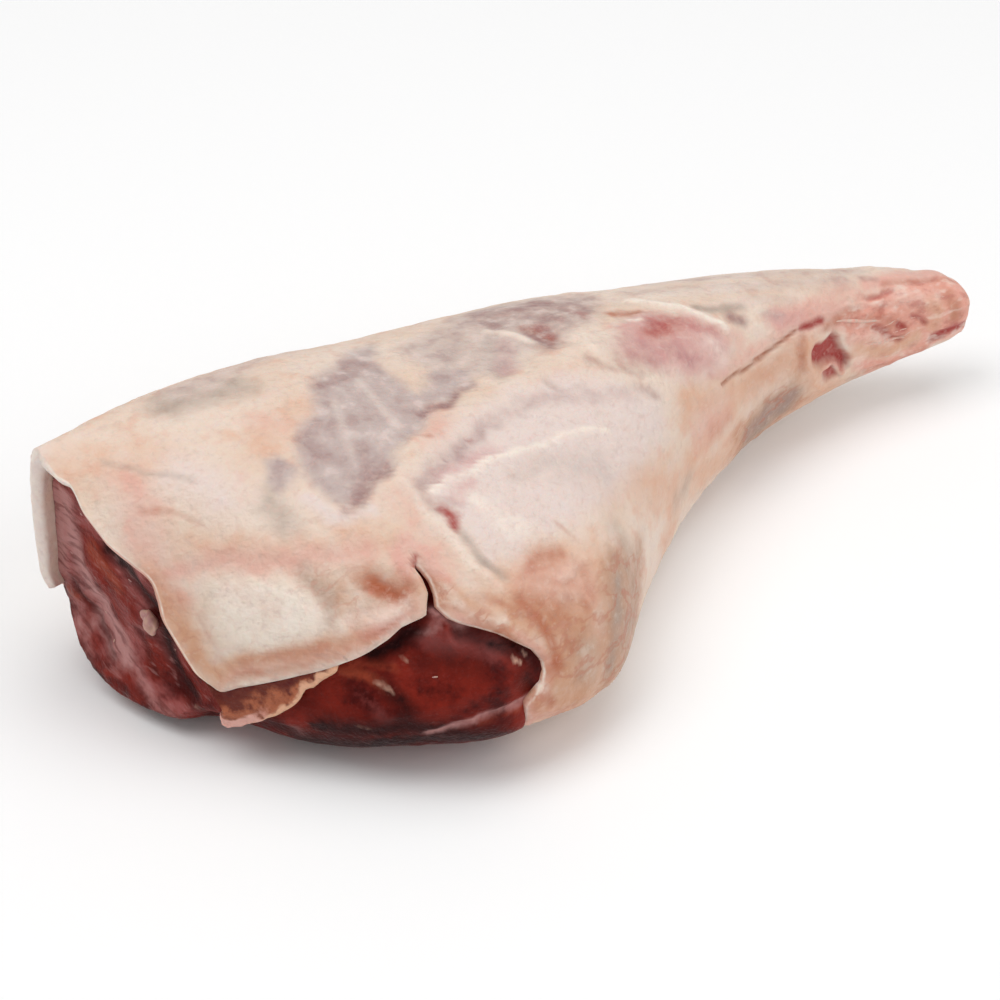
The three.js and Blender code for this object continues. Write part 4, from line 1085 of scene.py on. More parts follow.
def add(tree, kind, inputs=None, **settings):
    """Adds a node. An input's value is a number, a colour or the output socket that feeds it."""
    node = tree.nodes.new(kind)
    for key, value in settings.items():
        setattr(node, key, value)
    for key, value in (inputs or {}).items():
        if isinstance(value, bpy.types.NodeSocket):
            tree.links.new(value, node.inputs[key])
        else:
            node.inputs[key].default_value = value
    return node


def calc(tree, operation, *values):
    return add(tree, "ShaderNodeMath", dict(enumerate(values)), operation=operation).outputs[0]


def mask_value(tree, name):
    return add(tree, "ShaderNodeAttribute", attribute_name=name).outputs["Fac"]


def new_material(name):
    material = bpy.data.materials.new(name)
    material.use_nodes = True
    material.node_tree.nodes.clear()
    return material, material.node_tree


def mottle(tree, size, detail=3.0, stretch=(1, 1, 1), turn=(0, 0, 0)):
    """Noise from about -1 to 1, with lumps `size` metres wide, stretched along each axis of the piece."""
    where = add(tree, "ShaderNodeTexCoord").outputs["Object"]
    scale = tuple(size * s for s in stretch)
    mapped = add(tree, "ShaderNodeMapping", {"Vector": where, "Rotation": turn, "Scale": scale},
                 vector_type="TEXTURE")
    noise = add(tree, "ShaderNodeTexNoise", {"Vector": mapped.outputs[0], "Scale": 1.0, "Detail": detail})
    centred = add(tree, "ShaderNodeMapRange", {
        "Value": noise.outputs[0], "From Min": 0.28, "From Max": 0.72, "To Min": -1.0, "To Max": 1.0})
    return centred.outputs[0]


def weigh(tree, first, second, share):
    """The first value times 1 - share plus the second times share."""
    return calc(tree, "MULTIPLY_ADD", second, share, calc(tree, "MULTIPLY", first, 1 - share))


def span(tree, value, low, high, to_low=0.0, to_high=1.0):
    """The value brought smoothly from low to high onto to_low to to_high."""
    ramp = add(tree, "ShaderNodeMapRange", {
        "Value": value, "From Min": low, "From Max": high, "To Min": to_low, "To Max": to_high},
        interpolation_type="SMOOTHSTEP")
    return ramp.outputs[0]


def blend_colour(tree, factor, under, over):
    return add(tree, "ShaderNodeMix", {0: factor, 6: under, 7: over}, data_type="RGBA").outputs[2]


def layers(tree, base, colours, noise, rows):
    """Lays colours over base where their vertex masks are, each with its edge made ragged by the noise."""
    for mask, name, ragged, crisp in rows:
        value = mask_value(tree, mask)
        edge = calc(tree, "MULTIPLY", value, calc(tree, "SUBTRACT", 1.08, value))
        total = calc(tree, "MULTIPLY_ADD", calc(tree, "MULTIPLY", edge, 4 * ragged), noise, value)
        shaped = add(tree, "ShaderNodeMapRange", {
            "Value": total, "From Min": 0.35 * crisp, "From Max": 1 - 0.25 * crisp}).outputs[0]
        base = blend_colour(tree, shaped, base, colours[name])
    return base


def tints(tree, base, colours, rows):
    """Lays thin colours over base. A row has the colour, a noise, the values of it where the colour starts
    and where it is full, its strength and, if it shows nowhere else, its vertex mask."""
    for name, noise, start, full, strength, *mask in rows:
        factor = span(tree, noise, start, full, 0, strength)
        if mask:
            factor = calc(tree, "MULTIPLY", mask_value(tree, mask[0]), factor)
        base = blend_colour(tree, factor, base, colours[name])
    return base


def skin_shader(tree, colour, noise, rough, bump=None, flesh=None, ior=1.5, specular=0.5, coat=(0.0, 0.03)):
    """The surface. `rough` is its lowest and highest roughness, from the noise; `bump` is a height value
    and its size in metres; `flesh` is how much light goes in, its colour and how deep; `coat` is the wet
    film's weight and roughness."""
    inputs = {"Base Color": colour, "Roughness": span(tree, noise, -1, 1, *rough), "IOR": ior,
              "Specular IOR Level": specular, "Coat Weight": coat[0], "Coat Roughness": coat[1]}
    if flesh:
        inputs.update(zip(("Subsurface Weight", "Subsurface Radius", "Subsurface Scale"), flesh))
    if bump:
        height, size = bump
        inputs["Normal"] = add(tree, "ShaderNodeBump", {
            "Height": height, "Strength": 1.0, "Distance": size}).outputs[0]
    shader = add(tree, "ShaderNodeBsdfPrincipled", inputs)
    add(tree, "ShaderNodeOutputMaterial", {"Surface": shader.outputs[0]})


# Each layer: vertex mask, colour, raggedness of its edge and crispness.
FAT_LAYERS = [
    ("flesh", "torn_flesh", 0.3, 0.2),
    ("peach", "peach_fat", 0.22, -0.2),
    ("blush", "blush_fat", 0.25, -0.2),
    ("tan", "tan_fat", 0.25, -0.2),
    ("membrane", "lilac_membrane", 0.3, 0.0),
    ("shade", "grey_shade", 0.25, 0.0),
    ("rose", "rosy_muscle", 0.3, 0.1),
    ("window", "grey_window", 0.22, 0.1),
    ("purple", "purple_skin_and_shade", 0.3, 0.0),
    ("rust", "rust_fat_and_crease_shade", 0.22, 0.0),
    ("white", "white_fell", 0.35, 0.0),
    ("blood", "blood", 0.3, 0.1),
]


def fat_material(colours):
    """Raw lamb fat under its skin: soft, waxy, moist; cream with pink and orange stains, and grey and tan
    painted shade on the thigh's bulge and under the shank.
    """
    material, tree = new_material("Raw fat and fell")
    fine = mottle(tree, 0.0026, detail=4)
    middle = mottle(tree, 0.0075, detail=2.5)
    broad = mottle(tree, 0.028)
    strands = mottle(tree, 0.0048, detail=4, stretch=(1.9, 1, 1), turn=(0, 0, math.radians(-15)))
    creases = mottle(tree, 0.009, detail=3, stretch=(1.8, 1, 1), turn=(0, 0, math.radians(25)))
    creases = calc(tree, "ABSOLUTE", creases)
    blotch = weigh(tree, fine, middle, 0.72)
    base = blend_colour(tree, span(tree, broad, -0.7, 0.7), colours["cream_fat"], colours["ivory_fat"])
    base = tints(tree, base, colours, [
        ("peach_fat", middle, 0.0, 1.1, 0.3), ("lilac_membrane", middle, -0.1, -1.0, 0.35),
        ("blush_fat", blotch, 0.1, 1.0, 0.28)])
    base = layers(tree, base, colours, blotch, FAT_LAYERS)
    base = tints(tree, base, colours, [
        ("blood", strands, 0.05, 0.8, 0.38, "flesh"), ("white_fell", strands, -0.1, -0.9, 0.5, "flesh"),
        ("rust_fat_and_crease_shade", middle, 0.1, 0.9, 0.12, "flesh"), ("purple_skin_and_shade", blotch, 0.0, 0.8, 0.4, "window"),
        ("lilac_membrane", blotch, 0.0, -0.8, 0.65, "window"), ("rust_fat_and_crease_shade", creases, 0.2, 0.0, 0.6, "tan"),
        ("ivory_fat", strands, 0.1, 1.0, 0.12, "tan"), ("blush_fat", creases, 0.1, 0.0, 0.13),
        ("ivory_fat", fine, 0.1, 1.1, 0.2), ("purple_skin_and_shade", fine, -0.1, -1.1, 0.13)])
    skin_shader(tree, base, fine, (0.42, 0.56), bump=(weigh(tree, fine, strands, 0.5), 0.00032),
                flesh=(0.2, (1.0, 0.45, 0.3), 0.003), ior=1.44, specular=0.35, coat=(0.08, 0.3))
    return material


# The dark layers are partly painted shade: the deep layer wholly, the dark one in its marks under the flap,
# under the oval's rim and low on the side.
LEAN_LAYERS = [
    ("violet", "violet_lean", 0.4, 0.1),
    ("bright", "bright_lean", 0.4, 0.1),
    ("rust", "rust_lean", 0.4, 0.2),
    ("dark", "dark_lean_and_shade", 0.35, 0.1),
    ("fascia", "fascia", 0.4, 0.0),
    ("fat", "meat_fat", 0.3, 0.3),
    # Painted shade over the meat in the hollow under the free flap.
    ("deep", "dark_lean_and_shade", 0.1, 0.0),
]
FLANK_LAYERS = [
    ("tan", "flank_tan", 0.8, 0.0),
    ("pale", "flank_pale", 0.5, 0.2),
    ("pink", "blush_fat", 0.4, 0.2),
]


def lean_material(colours):
    """Raw lean lamb: wet, deep red, with the grain of its fibres along the leg."""
    material, tree = new_material("Raw lean lamb")
    fine = mottle(tree, 0.0024, detail=4)
    broad = mottle(tree, 0.011, detail=3)
    fibre = mottle(tree, 0.0011, detail=3, stretch=(6, 1, 1.2),
                   turn=(0, math.radians(12), math.radians(25)))
    streak = mottle(tree, 0.0019, detail=3, stretch=(2, 6, 1), turn=(math.radians(24), 0, 0))
    blotch = weigh(tree, fine, broad, 0.65)
    base = blend_colour(tree, span(tree, broad, -0.8, 0.9), colours["lean_red"], colours["bright_lean"])
    base = tints(tree, base, colours, [("dark_lean_and_shade", blotch, 0.1, -1.0, 0.6)])
    base = layers(tree, base, colours, blotch, LEAN_LAYERS)
    base = tints(tree, base, colours, [
        ("fascia", streak, 0.3, 0.9, 0.3, "cut"), ("lean_red", streak, 0.1, -0.7, 0.5, "cut"),
        ("violet_lean", fibre, 0.3, 1.2, 0.08)])
    skin_shader(tree, base, fine, (0.3, 0.48), bump=(weigh(tree, fine, fibre, 0.35), 0.00022),
                flesh=(0.08, (1.0, 0.2, 0.12), 0.002), ior=1.4, specular=0.12, coat=(0.05, 0.12))
    return material


def flank_material(colours):
    """Thin flank muscle: translucent orange-brown, pale and fatty along its free edge, and dark brown as
    painted shade up under the flap.
    """
    material, tree = new_material("Raw flank muscle")
    fine = mottle(tree, 0.0028, detail=4)
    fibre = mottle(tree, 0.001, detail=2, stretch=(7, 1, 1))
    # The dark brown base stands for painted shade under the flap; the lower part is laid tan over it.
    base = blend_colour(tree, span(tree, fine, -0.8, 0.8), colours["flank_brown"], colours["lean_red"])
    base = layers(tree, base, colours, fine, FLANK_LAYERS)
    skin_shader(tree, base, fine, (0.35, 0.5), bump=(weigh(tree, fine, fibre, 0.5), 0.0003),
                flesh=(0.1, (1.0, 0.3, 0.2), 0.002), ior=1.4, specular=0.25, coat=(0.12, 0.2))
    return material


def knuckle_material(colours):
    """Joint cartilage: smooth, pearly and wet, rosy where blood shows through."""
    material, tree = new_material("Joint cartilage")
    fine = mottle(tree, 0.004, detail=3)
    base = blend_colour(tree, span(tree, fine, -0.6, 0.8), colours["cartilage"], colours["peach_fat"])
    base = layers(tree, base, colours, fine, [("flesh", "torn_flesh", 0.5, 0.2)])
    skin_shader(tree, base, fine, (0.28, 0.42), bump=(fine, 0.0002),
                flesh=(0.3, (1.0, 0.6, 0.5), 0.003), ior=1.45, coat=(0.25, 0.12))
    return material


def sinew_material(colours):
    """Sinew: silvery cream strands with a satin gloss."""
    material, tree = new_material("Sinew")
    fine = mottle(tree, 0.002, detail=3)
    base = blend_colour(tree, span(tree, fine, -0.6, 0.9), colours["sinew"], colours["torn_flesh"])
    skin_shader(tree, base, fine, (0.3, 0.45), bump=(fine, 0.0002),
                flesh=(0.2, (1.0, 0.5, 0.4), 0.002), ior=1.45, coat=(0.2, 0.2))
    return material


def fleck_material(colours):
    """Marbling: dull, waxy specks of fat and gristle that sit in the lean meat."""
    material, tree = new_material("Marbling fat")
    fine = mottle(tree, 0.002, detail=3)
    base = blend_colour(tree, span(tree, fine, -0.8, 0.8), colours["meat_fat"], colours["fascia"])
    skin_shader(tree, base, fine, (0.35, 0.5), bump=(fine, 0.0001),
                flesh=(0.2, (1.0, 0.5, 0.4), 0.002), ior=1.45)
    return material


# ---- Settings -------------------------------------------------------------------------------


class LambSizes(PropertyGroup):
    mesh_step: FloatProperty(name="Mesh step", description="Spacing of the cover's finest rings",
                             default=0.00095, min=0.0008, max=0.01, unit="LENGTH")
    flap_fat: FloatProperty(name="Flap fat", description="Thickness of the free flap at the rump",
                            default=0.0024, min=0.001, max=0.01, unit="LENGTH")
    thigh_fat: FloatProperty(name="Thigh fat", description="Thickness of the cover over the thigh",
                             default=0.004, min=0.001, max=0.01, unit="LENGTH")
    back_fat: FloatProperty(name="Back fat", description="Thickness of the cover down the back",
                            default=0.0075, min=0.002, max=0.02, unit="LENGTH")
    lumps: FloatProperty(name="Lumps", description="Height of the soft lumps of the fat cover",
                         default=0.0006, min=0.0, max=0.003, unit="LENGTH")
    flank_fat: FloatProperty(name="Flank muscle", description="Thickness of the flank muscle",
                             default=0.0032, min=0.001, max=0.01, unit="LENGTH")
    flecks: IntProperty(name="Flecks", description="Specks of marbling for each square metre of meat",
                        default=26000, min=0, max=100000)
    fleck_size: FloatProperty(name="Fleck size", description="Length of a speck of marbling",
                              default=0.0022, min=0.0005, max=0.01, unit="LENGTH")
    sinew_width: FloatProperty(name="Sinew width", description="Width of a torn sinew",
                               default=0.0011, min=0.0003, max=0.005, unit="LENGTH")


class LambColours(PropertyGroup):
    __annotations__ = {
        key: FloatVectorProperty(name=label, description=f"Colour: {label.lower()}", subtype="COLOR",
                                 size=4, min=0.0, max=1.0, default=linear(code))
        for key, (code, label) in COLOURS.items()
    }


def settings(context):
    """The sizes, and the colours by name."""
    chosen = context.scene.lamb_colours
    return context.scene.lamb_sizes, {name: tuple(getattr(chosen, name)) for name in COLOURS}


# ---- Operators ------------------------------------------------------------------------------


class LAMB_OT_lean_meat(Operator):
    """Builds the body of lean meat with its cut face at the rump"""
    bl_idname = "lamb.lean_meat"
    bl_label = "Lean meat"

    def execute(self, context):
        sizes, colours = settings(context)
        points, faces, masks = lean_sheet(sizes)
        make_piece("lean_meat", points, faces, masks, lean_material(colours))
        return {"FINISHED"}


class LAMB_OT_fat_cover(Operator):
    """Builds the cover of fat and skin over the whole leg, with its free flap"""
    bl_idname = "lamb.fat_cover"
    bl_label = "Fat cover"

    def execute(self, context):
        sizes, colours = settings(context)
        x, turn, faces, lining = cover_sheet(sizes)
        masks, height = fat_field(x, turn, sizes)
        gap = gap_to_bare(x, turn)
        # The free edge thins out. It is pink round the oval muscle and along the flap.
        edge = 1 - smoothstep(np.abs(gap), 0, 2.6)
        by_oval = smoothstep(x, -96, -90) * (1 - smoothstep(gap, 1.6, 4.4))
        by_flap = (1 - smoothstep(x, -110, -98)) * smoothstep(turn, 1.5, 1.6)
        by_flap *= 1 - smoothstep(gap, 1.4, 3.2)
        raise_mask(masks, "blush", 0.85 * by_oval)
        raise_mask(masks, "blush", 0.6 * by_flap)
        height = height * smoothstep(gap, -0.5, 4) - 0.9 * edge
        hock = smoothstep(x, HOCK - MEAT_SHORT, HOCK)  # drawn in over the joint
        height = height * (1 - 0.7 * hock) - 1.5 * hock ** 2
        outer = inward(x, turn, -height)
        thick = cover_thickness(x, turn, sizes)
        inner = inward(x, turn, thick + np.maximum(0, -height), floor=2.0)
        points, shell, source, rim = close_sheet(outer, inner, faces, rows=4, bulge=0.22, lining=lining)
        masks = {name: values[source] for name, values in masks.items()}
        # The cut edge is white at the skin, then pink on the flap and pale down the back.
        flap = smoothstep(turn[source], 1.2, 1.35)
        raise_mask(masks, "white", 0.7 * (rim > 0) * (rim < 0.3))
        raise_mask(masks, "blush", 0.9 * flap * (rim > 0.3))
        raise_mask(masks, "membrane", (1 - flap) * (rim > 0))
        raise_mask(masks, "white", 0.4 * (1 - flap) * (rim > 0))
        make_piece("fat_cover", points, shell, masks, fat_material(colours))
        return {"FINISHED"}


FLANK_END = -129
# the turn of the flank muscle's free edge, by x
flank_edge = curve([
    (RUMP, 2.18), (-158, 2.145), (-155, 2.09), (-151, 2.0), (-147, 1.925), (-142, 1.84), (-138, 1.805),
    (-134, 1.785), (FLANK_END, 1.72)])


class LAMB_OT_flank_muscle(Operator):
    """Builds the thin flank muscle that hangs below the flap"""
    bl_idname = "lamb.flank_muscle"
    bl_label = "Flank muscle"

    SINK = 6.5  # mm below the leg's surface where the flap still covers it
    STEP = 0.9  # mm between its rows along the leg
    ACROSS = 56  # points from its hidden upper edge to its free lower edge
    HIDDEN = 0.22  # turns that it reaches up behind the flap

    def execute(self, context):
        sizes, colours = settings(context)
        rings = np.arange(RUMP + 2.5, FLANK_END, self.STEP)
        across = np.linspace(0, 1, self.ACROSS)
        x, t = grid(rings, across)
        high = cover_edge(x) - self.HIDDEN
        place = np.stack([x, x * 0, x * 0], -1)
        low = flank_edge(x) + 0.022 * RIPPLES(place, 5.5) + 0.012 * SPECKS(place, 2.3)
        turn = lerp(high, low, t)
        skin = surface(x, turn)
        lip = smoothstep(t, 0.84, 0.97)
        end = smoothstep(x, FLANK_END - 9, FLANK_END)
        wave = 0.8 * RIPPLES(skin, (9, 6, 6)) + 0.4 * SPECKS(skin, (5, 3, 3))
        below = turn - cover_edge(x)
        clear = lerp(self.SINK, 0.8, smoothstep(below, -0.06, 0.06))
        depth = np.minimum(clear, meat_relief(x, turn, sizes)[0] - 1.8)
        depth -= 3.2 * (1 - smoothstep(x, -150, -143)) * smoothstep(below, 0.03, 0.12)
        depth = depth + 2.2 * end + wave * smoothstep(t, 0.35, 0.8)
        outer = inward(x, turn, depth - 0.8 * lip)
        inner = inward(x, turn, depth + sizes.flank_fat / MM * (1 - 0.3 * end))
        width = self.ACROSS
        starts = [i * width + j for i in range(len(rings) - 1) for j in range(width - 1)]
        faces = [(a, a + 1, a + width + 1, a + width) for a in starts]
        points, shell, source, _ = close_sheet(outer, inner, faces, rows=3, bulge=0.3)
        # Painted shade: only the part of the muscle that hangs below the cover is laid tan; up under the
        # flap it keeps its dark base.
        shown = (low - cover_edge(x)) * ARC
        reach = lerp(0.45, 0.15, smoothstep(x, -153, -142))
        from_edge = (low - turn) * ARC + 0.9 * RIPPLES(skin, 4) + 0.5 * SPECKS(skin, 2)
        masks = {
            "pale": 1 - smoothstep(from_edge, 0.8, 2.4),
            "tan": 0.85 * (1 - smoothstep(from_edge, reach * shown, (reach + 0.4) * shown)),
            "pink": smoothstep(-x, 150, 157) * (1 - smoothstep(from_edge, 5, 10)),
        }
        masks = {name: values[source] for name, values in masks.items()}
        make_piece("flank_muscle", points, shell, masks, flank_material(colours))
        return {"FINISHED"}


class LAMB_OT_knuckle(Operator):
    """Builds the joint surface at the hock, where the foot was taken off"""
    bl_idname = "lamb.knuckle"
    bl_label = "Knuckle"

    POINTS, ROWS = 96, 22
    RISE = 3.4  # mm that the rounded joint stands out of the end of the shank
    LOBE = 5  # mm from the middle to the top of each of its two lobes

    def execute(self, context):
        _, colours = settings(context)
        count, rows = self.POINTS, self.ROWS
        turns = np.arange(count) / count * 4
        base = inward(np.full(count, HOCK - 8.0), turns, 3.0)
        rim = inward(np.full(count, float(HOCK)), turns, 3.2)
        middle = rim.mean(0)
        stack = [lerp(base, rim, k / 4) for k in range(5)]
        for k in range(1, rows):
            angle = k / rows * math.pi / 2
            ring = lerp(middle, rim, math.cos(angle) ** 0.9)
            ring[:, 0] += self.RISE * math.sin(angle)
            stack.append(ring)
        points = np.concatenate([*stack, [middle + [self.RISE, 0, 0]], [base.mean(0)]])
        off = points[:, 1] - middle[1]
        lobes = np.exp(-((off - self.LOBE) / 4) ** 2) + np.exp(-((off + self.LOBE) / 4) ** 2)
        cap = smoothstep(points[:, 0], HOCK - 1, HOCK + 2)
        points[:, 0] += cap * (1.6 * lobes - 1.1) + 0.2 * RIPPLES(points, 4)
        points[:, 0] = np.minimum(points[:, 0], KNUCKLE_END + 2)
        faces = close_rings(len(stack), count, len(points) - 1, len(points) - 2)
        away = np.linalg.norm(points[:, 1:] - middle[1:], axis=1)
        away /= np.linalg.norm(rim[:, 1:] - middle[1:], axis=1).max()
        masks = {"flesh": smoothstep(away, 0.72, 0.95)}
        make_piece("knuckle", points, faces, masks, knuckle_material(colours))
        return {"FINISHED"}


def new_tree(name, *inputs):
    """A geometry node tree and its inputs: the mesh, and each number as (name, kind, default)."""
    tree = bpy.data.node_groups.new(name, "GeometryNodeTree")
    tree.interface.new_socket("Geometry", in_out="INPUT", socket_type="NodeSocketGeometry")
    for label, kind, default in inputs:
        socket = tree.interface.new_socket(label, in_out="INPUT", socket_type="NodeSocket" + kind)
        socket.default_value = default
    tree.interface.new_socket("Geometry", in_out="OUTPUT", socket_type="NodeSocketGeometry")
    return tree, add(tree, "NodeGroupInput").outputs


def finish_tree(tree, geometry, material):
    """Turns the instances into one real, smooth mesh with its material, the tree's result."""
    real = add(tree, "GeometryNodeRealizeInstances", {0: geometry}).outputs[0]
    smooth = add(tree, "GeometryNodeSetShadeSmooth", {0: real}).outputs[0]
    made = add(tree, "GeometryNodeSetMaterial", {"Geometry": smooth, "Material": material}).outputs[0]
    add(tree, "NodeGroupOutput", {0: made})
    return tree


def strand_tree(material):
    """Turns each chain of edges of a mesh into a round strand, as wide as its attribute `width` says."""
    tree, given = new_tree("Strands", ("Width", "Float", 0.001), ("Wobble", "Float", 0.0004),
                           ("Sides", "Int", 8), ("Seed", "Int", 5))
    chain = add(tree, "GeometryNodeMeshToCurve", {0: given["Geometry"]}).outputs[0]
    chain = add(tree, "GeometryNodeResampleCurve", {"Curve": chain, "Count": 26}).outputs[0]
    where = add(tree, "GeometryNodeInputPosition").outputs[0]
    noise = add(tree, "ShaderNodeTexNoise", {
        "Vector": where, "W": given["Seed"], "Scale": 260.0, "Detail": 2.0},
        noise_dimensions="4D").outputs[1]
    centred = add(tree, "ShaderNodeVectorMath", {0: noise, 1: (0.5,) * 3}, operation="SUBTRACT").outputs[0]
    push = add(tree, "ShaderNodeVectorMath", {0: centred, 3: given["Wobble"]}, operation="SCALE").outputs[0]
    chain = add(tree, "GeometryNodeSetPosition", {"Geometry": chain, "Offset": push}).outputs[0]
    width = add(tree, "GeometryNodeInputNamedAttribute", {"Name": "width"}, data_type="FLOAT").outputs[0]
    along = add(tree, "GeometryNodeSplineParameter").outputs["Factor"]
    arch = calc(tree, "SINE", calc(tree, "MULTIPLY", along, math.pi))
    radius = calc(tree, "MULTIPLY", width, calc(tree, "MULTIPLY_ADD", arch, 0.7, 0.3))
    profile = add(tree, "GeometryNodeCurvePrimitiveCircle", {
        "Resolution": given["Sides"], "Radius": given["Width"]})
    tube = add(tree, "GeometryNodeCurveToMesh", {
        "Curve": chain, "Profile Curve": profile.outputs[0], "Scale": radius, "Fill Caps": True})
    return finish_tree(tree, tube.outputs[0], material)


def fleck_tree(material):
    """Scatters flat specks over a mesh, as dense as its attribute `marbling` says, long along the leg."""
    tree, given = new_tree("Marbling", ("Density", "Float", 26000.0), ("Length", "Float", 0.002),
                           ("Seed", "Int", 7))
    mask = add(tree, "GeometryNodeInputNamedAttribute", {"Name": "marbling"}, data_type="FLOAT").outputs[0]
    density = calc(tree, "MULTIPLY", mask, given["Density"])
    scatter = add(tree, "GeometryNodeDistributePointsOnFaces", {
        "Mesh": given["Geometry"], "Density": density, "Seed": given["Seed"]}, distribute_method="RANDOM")
    speck = add(tree, "GeometryNodeMeshIcoSphere", {"Radius": 0.5, "Subdivisions": 2}).outputs[0]
    upright = add(tree, "FunctionNodeAlignRotationToVector", {"Vector": scatter.outputs["Normal"]},
                  axis="Z").outputs[0]
    along = add(tree, "FunctionNodeAlignRotationToVector", {
        "Rotation": upright, "Vector": (1.0, 0.0, -0.3)}, axis="X", pivot_axis="Z").outputs[0]
    size = add(tree, "FunctionNodeRandomValue", {
        "Min": (0.25, 0.12, 0.08), "Max": (1.1, 0.35, 0.14), "Seed": given["Seed"]},
        data_type="FLOAT_VECTOR").outputs[0]
    size = add(tree, "ShaderNodeVectorMath", {0: size, 3: given["Length"]}, operation="SCALE").outputs[0]
    placed = add(tree, "GeometryNodeInstanceOnPoints", {
        "Points": scatter.outputs[0], "Instance": speck, "Rotation": along, "Scale": size}).outputs[0]
    return finish_tree(tree, placed, material)


def grow(name, base, tree, inputs):
    """Runs a node tree on a base mesh and keeps the result as a plain mesh piece."""
    worker = bpy.data.objects.new(name + "_base", base)
    bpy.context.scene.collection.objects.link(worker)
    modifier = worker.modifiers.new(tree.name, "NODES")
    modifier.node_group = tree
    sockets = {s.name: s.identifier for s in tree.interface.items_tree if s.in_out == "INPUT"}
    for key, value in inputs.items():
        modifier[sockets[key]] = value
    depsgraph = bpy.context.evaluated_depsgraph_get()
    mesh = bpy.data.meshes.new_from_object(worker.evaluated_get(depsgraph))
    mesh.name = name
    worker.modifiers.remove(modifier)
    bpy.data.objects.remove(worker)
    if not len(mesh.polygons):
        raise RuntimeError(f"{name} came out empty")
    piece = bpy.data.objects.new(name, mesh)
    bpy.context.scene.collection.objects.link(piece)
    return finish_piece(piece)


class LAMB_OT_sinews(Operator):
    """Grows the torn sinews of the shank"""
    bl_idname = "lamb.sinews"
    bl_label = "Sinews"

    # (x, turn) paths: depth below the outer surface in mm at each end, and relative width
    PATHS = [
        ([(134, 1.6), (143, 1.66), (153, 1.76), (165, 1.86)], 0.4, 0.3, 1.6),
        ([(147, 1.98), (158, 2.06), (170, 2.13), (180, 2.1)], 0.3, 0.3, 1.4),
    ]
    STRANDS = 14

    def execute(self, context):
        sizes, colours = settings(context)
        random = np.random.default_rng(17)
        paths = list(self.PATHS)
        for _ in range(self.STRANDS):
            x, turn = random.uniform(142, 186), random.uniform(1.5, 2.35)
            length, drift = random.uniform(8, 20), random.uniform(-0.12, 0.12)
            path = [(x, turn), (x + length / 2, turn + 0.6 * drift), (min(x + length, 199), turn + drift)]
            paths.append((path, *(random.uniform(*r) for r in ((0.2, 0.5), (0.1, 0.5), (0.35, 0.7)))))
        points, edges, widths = [], [], []
        for path, start, end, width in paths:
            places = walk(path, 1.5, False)
            t = np.linspace(0, 1, len(places))
            relief = fat_field(places[:, 0], places[:, 1], sizes)[1]
            sink = lerp(start, end, t) + 0.8 * np.abs(2 * t - 1) ** 4
            row = inward(places[:, 0], places[:, 1], sink - relief)
            first = len(points)
            points += row.tolist()
            edges += [(first + k, first + k + 1) for k in range(len(row) - 1)]
            widths += [width] * len(row)
        base = bpy.data.meshes.new("sinew_paths")
        base.from_pydata(((np.array(points) + SHIFT) * MM).tolist(), edges, [])
        base.attributes.new("width", "FLOAT", "POINT").data.foreach_set("value", widths)
        tree = strand_tree(sinew_material(colours))
        grow("sinews", base, tree,
             {"Width": sizes.sinew_width / 2, "Wobble": 0.0008, "Sides": 8, "Seed": 5})
        return {"FINISHED"}


class LAMB_OT_marbling(Operator):
    """Scatters specks of fat over the bare meat and sets the fat nodule in the rump cut"""
    bl_idname = "lamb.marbling"
    bl_label = "Marbling"

    BARE_END, LOWEST = -66, 1.5  # specks lie only before this x and above this z, mm
    NODULE = (-8.5, 43.5)  # its (y, z) on the rump cut
    NODULE_SIZE = (1.7, 5.2, 3.8)

    def execute(self, context):
        sizes, colours = settings(context)
        material = fleck_material(colours)
        base = bpy.data.objects["lean_meat"].data.copy()
        co = np.empty(len(base.vertices) * 3)
        base.vertices.foreach_get("co", co)
        points = co.reshape(-1, 3) / MM - SHIFT
        cut = np.empty(len(base.vertices))
        base.attributes["cut"].data.foreach_get("value", cut)
        clump = smoothstep(LUMPS(points, 15), 0.0, 0.6)
        bare = (points[:, 0] < self.BARE_END) & (points[:, 2] > self.LOWEST)
        marbling = bare * (0.02 + 0.4 * clump) * (0.25 + 0.75 * cut)
        density = base.attributes.new("marbling", "FLOAT", "POINT")
        density.data.foreach_set("value", marbling.astype(np.float32))
        grow("marbling", base, fleck_tree(material),
             {"Density": float(sizes.flecks), "Length": sizes.fleck_size, "Seed": 7})
        self.nodule(material)
        return {"FINISHED"}

    def nodule(self, material):
        """A pale lump of fat beside the edge of the cover."""
        count, rows = 32, 18
        y, z = self.NODULE
        centre = np.array([face_x(y) - 0.5, y, z])
        around = np.arange(count) / count * 2 * math.pi
        rings = []
        for k in range(1, rows):
            angle = k / rows * math.pi
            rings.append(np.stack([np.full(count, -math.cos(angle)), math.sin(angle) * np.cos(around),
                                   math.sin(angle) * np.sin(around)], -1))
        ball = np.concatenate([*rings, [[-1, 0, 0]], [[1, 0, 0]]])
        points = centre + ball * self.NODULE_SIZE
        points += 1.7 * ball * RIPPLES(points, 3.4)[:, None]
        faces = close_rings(len(rings), count, len(points) - 2, len(points) - 1)
        make_piece("fat_nodule", points, faces, {}, material)


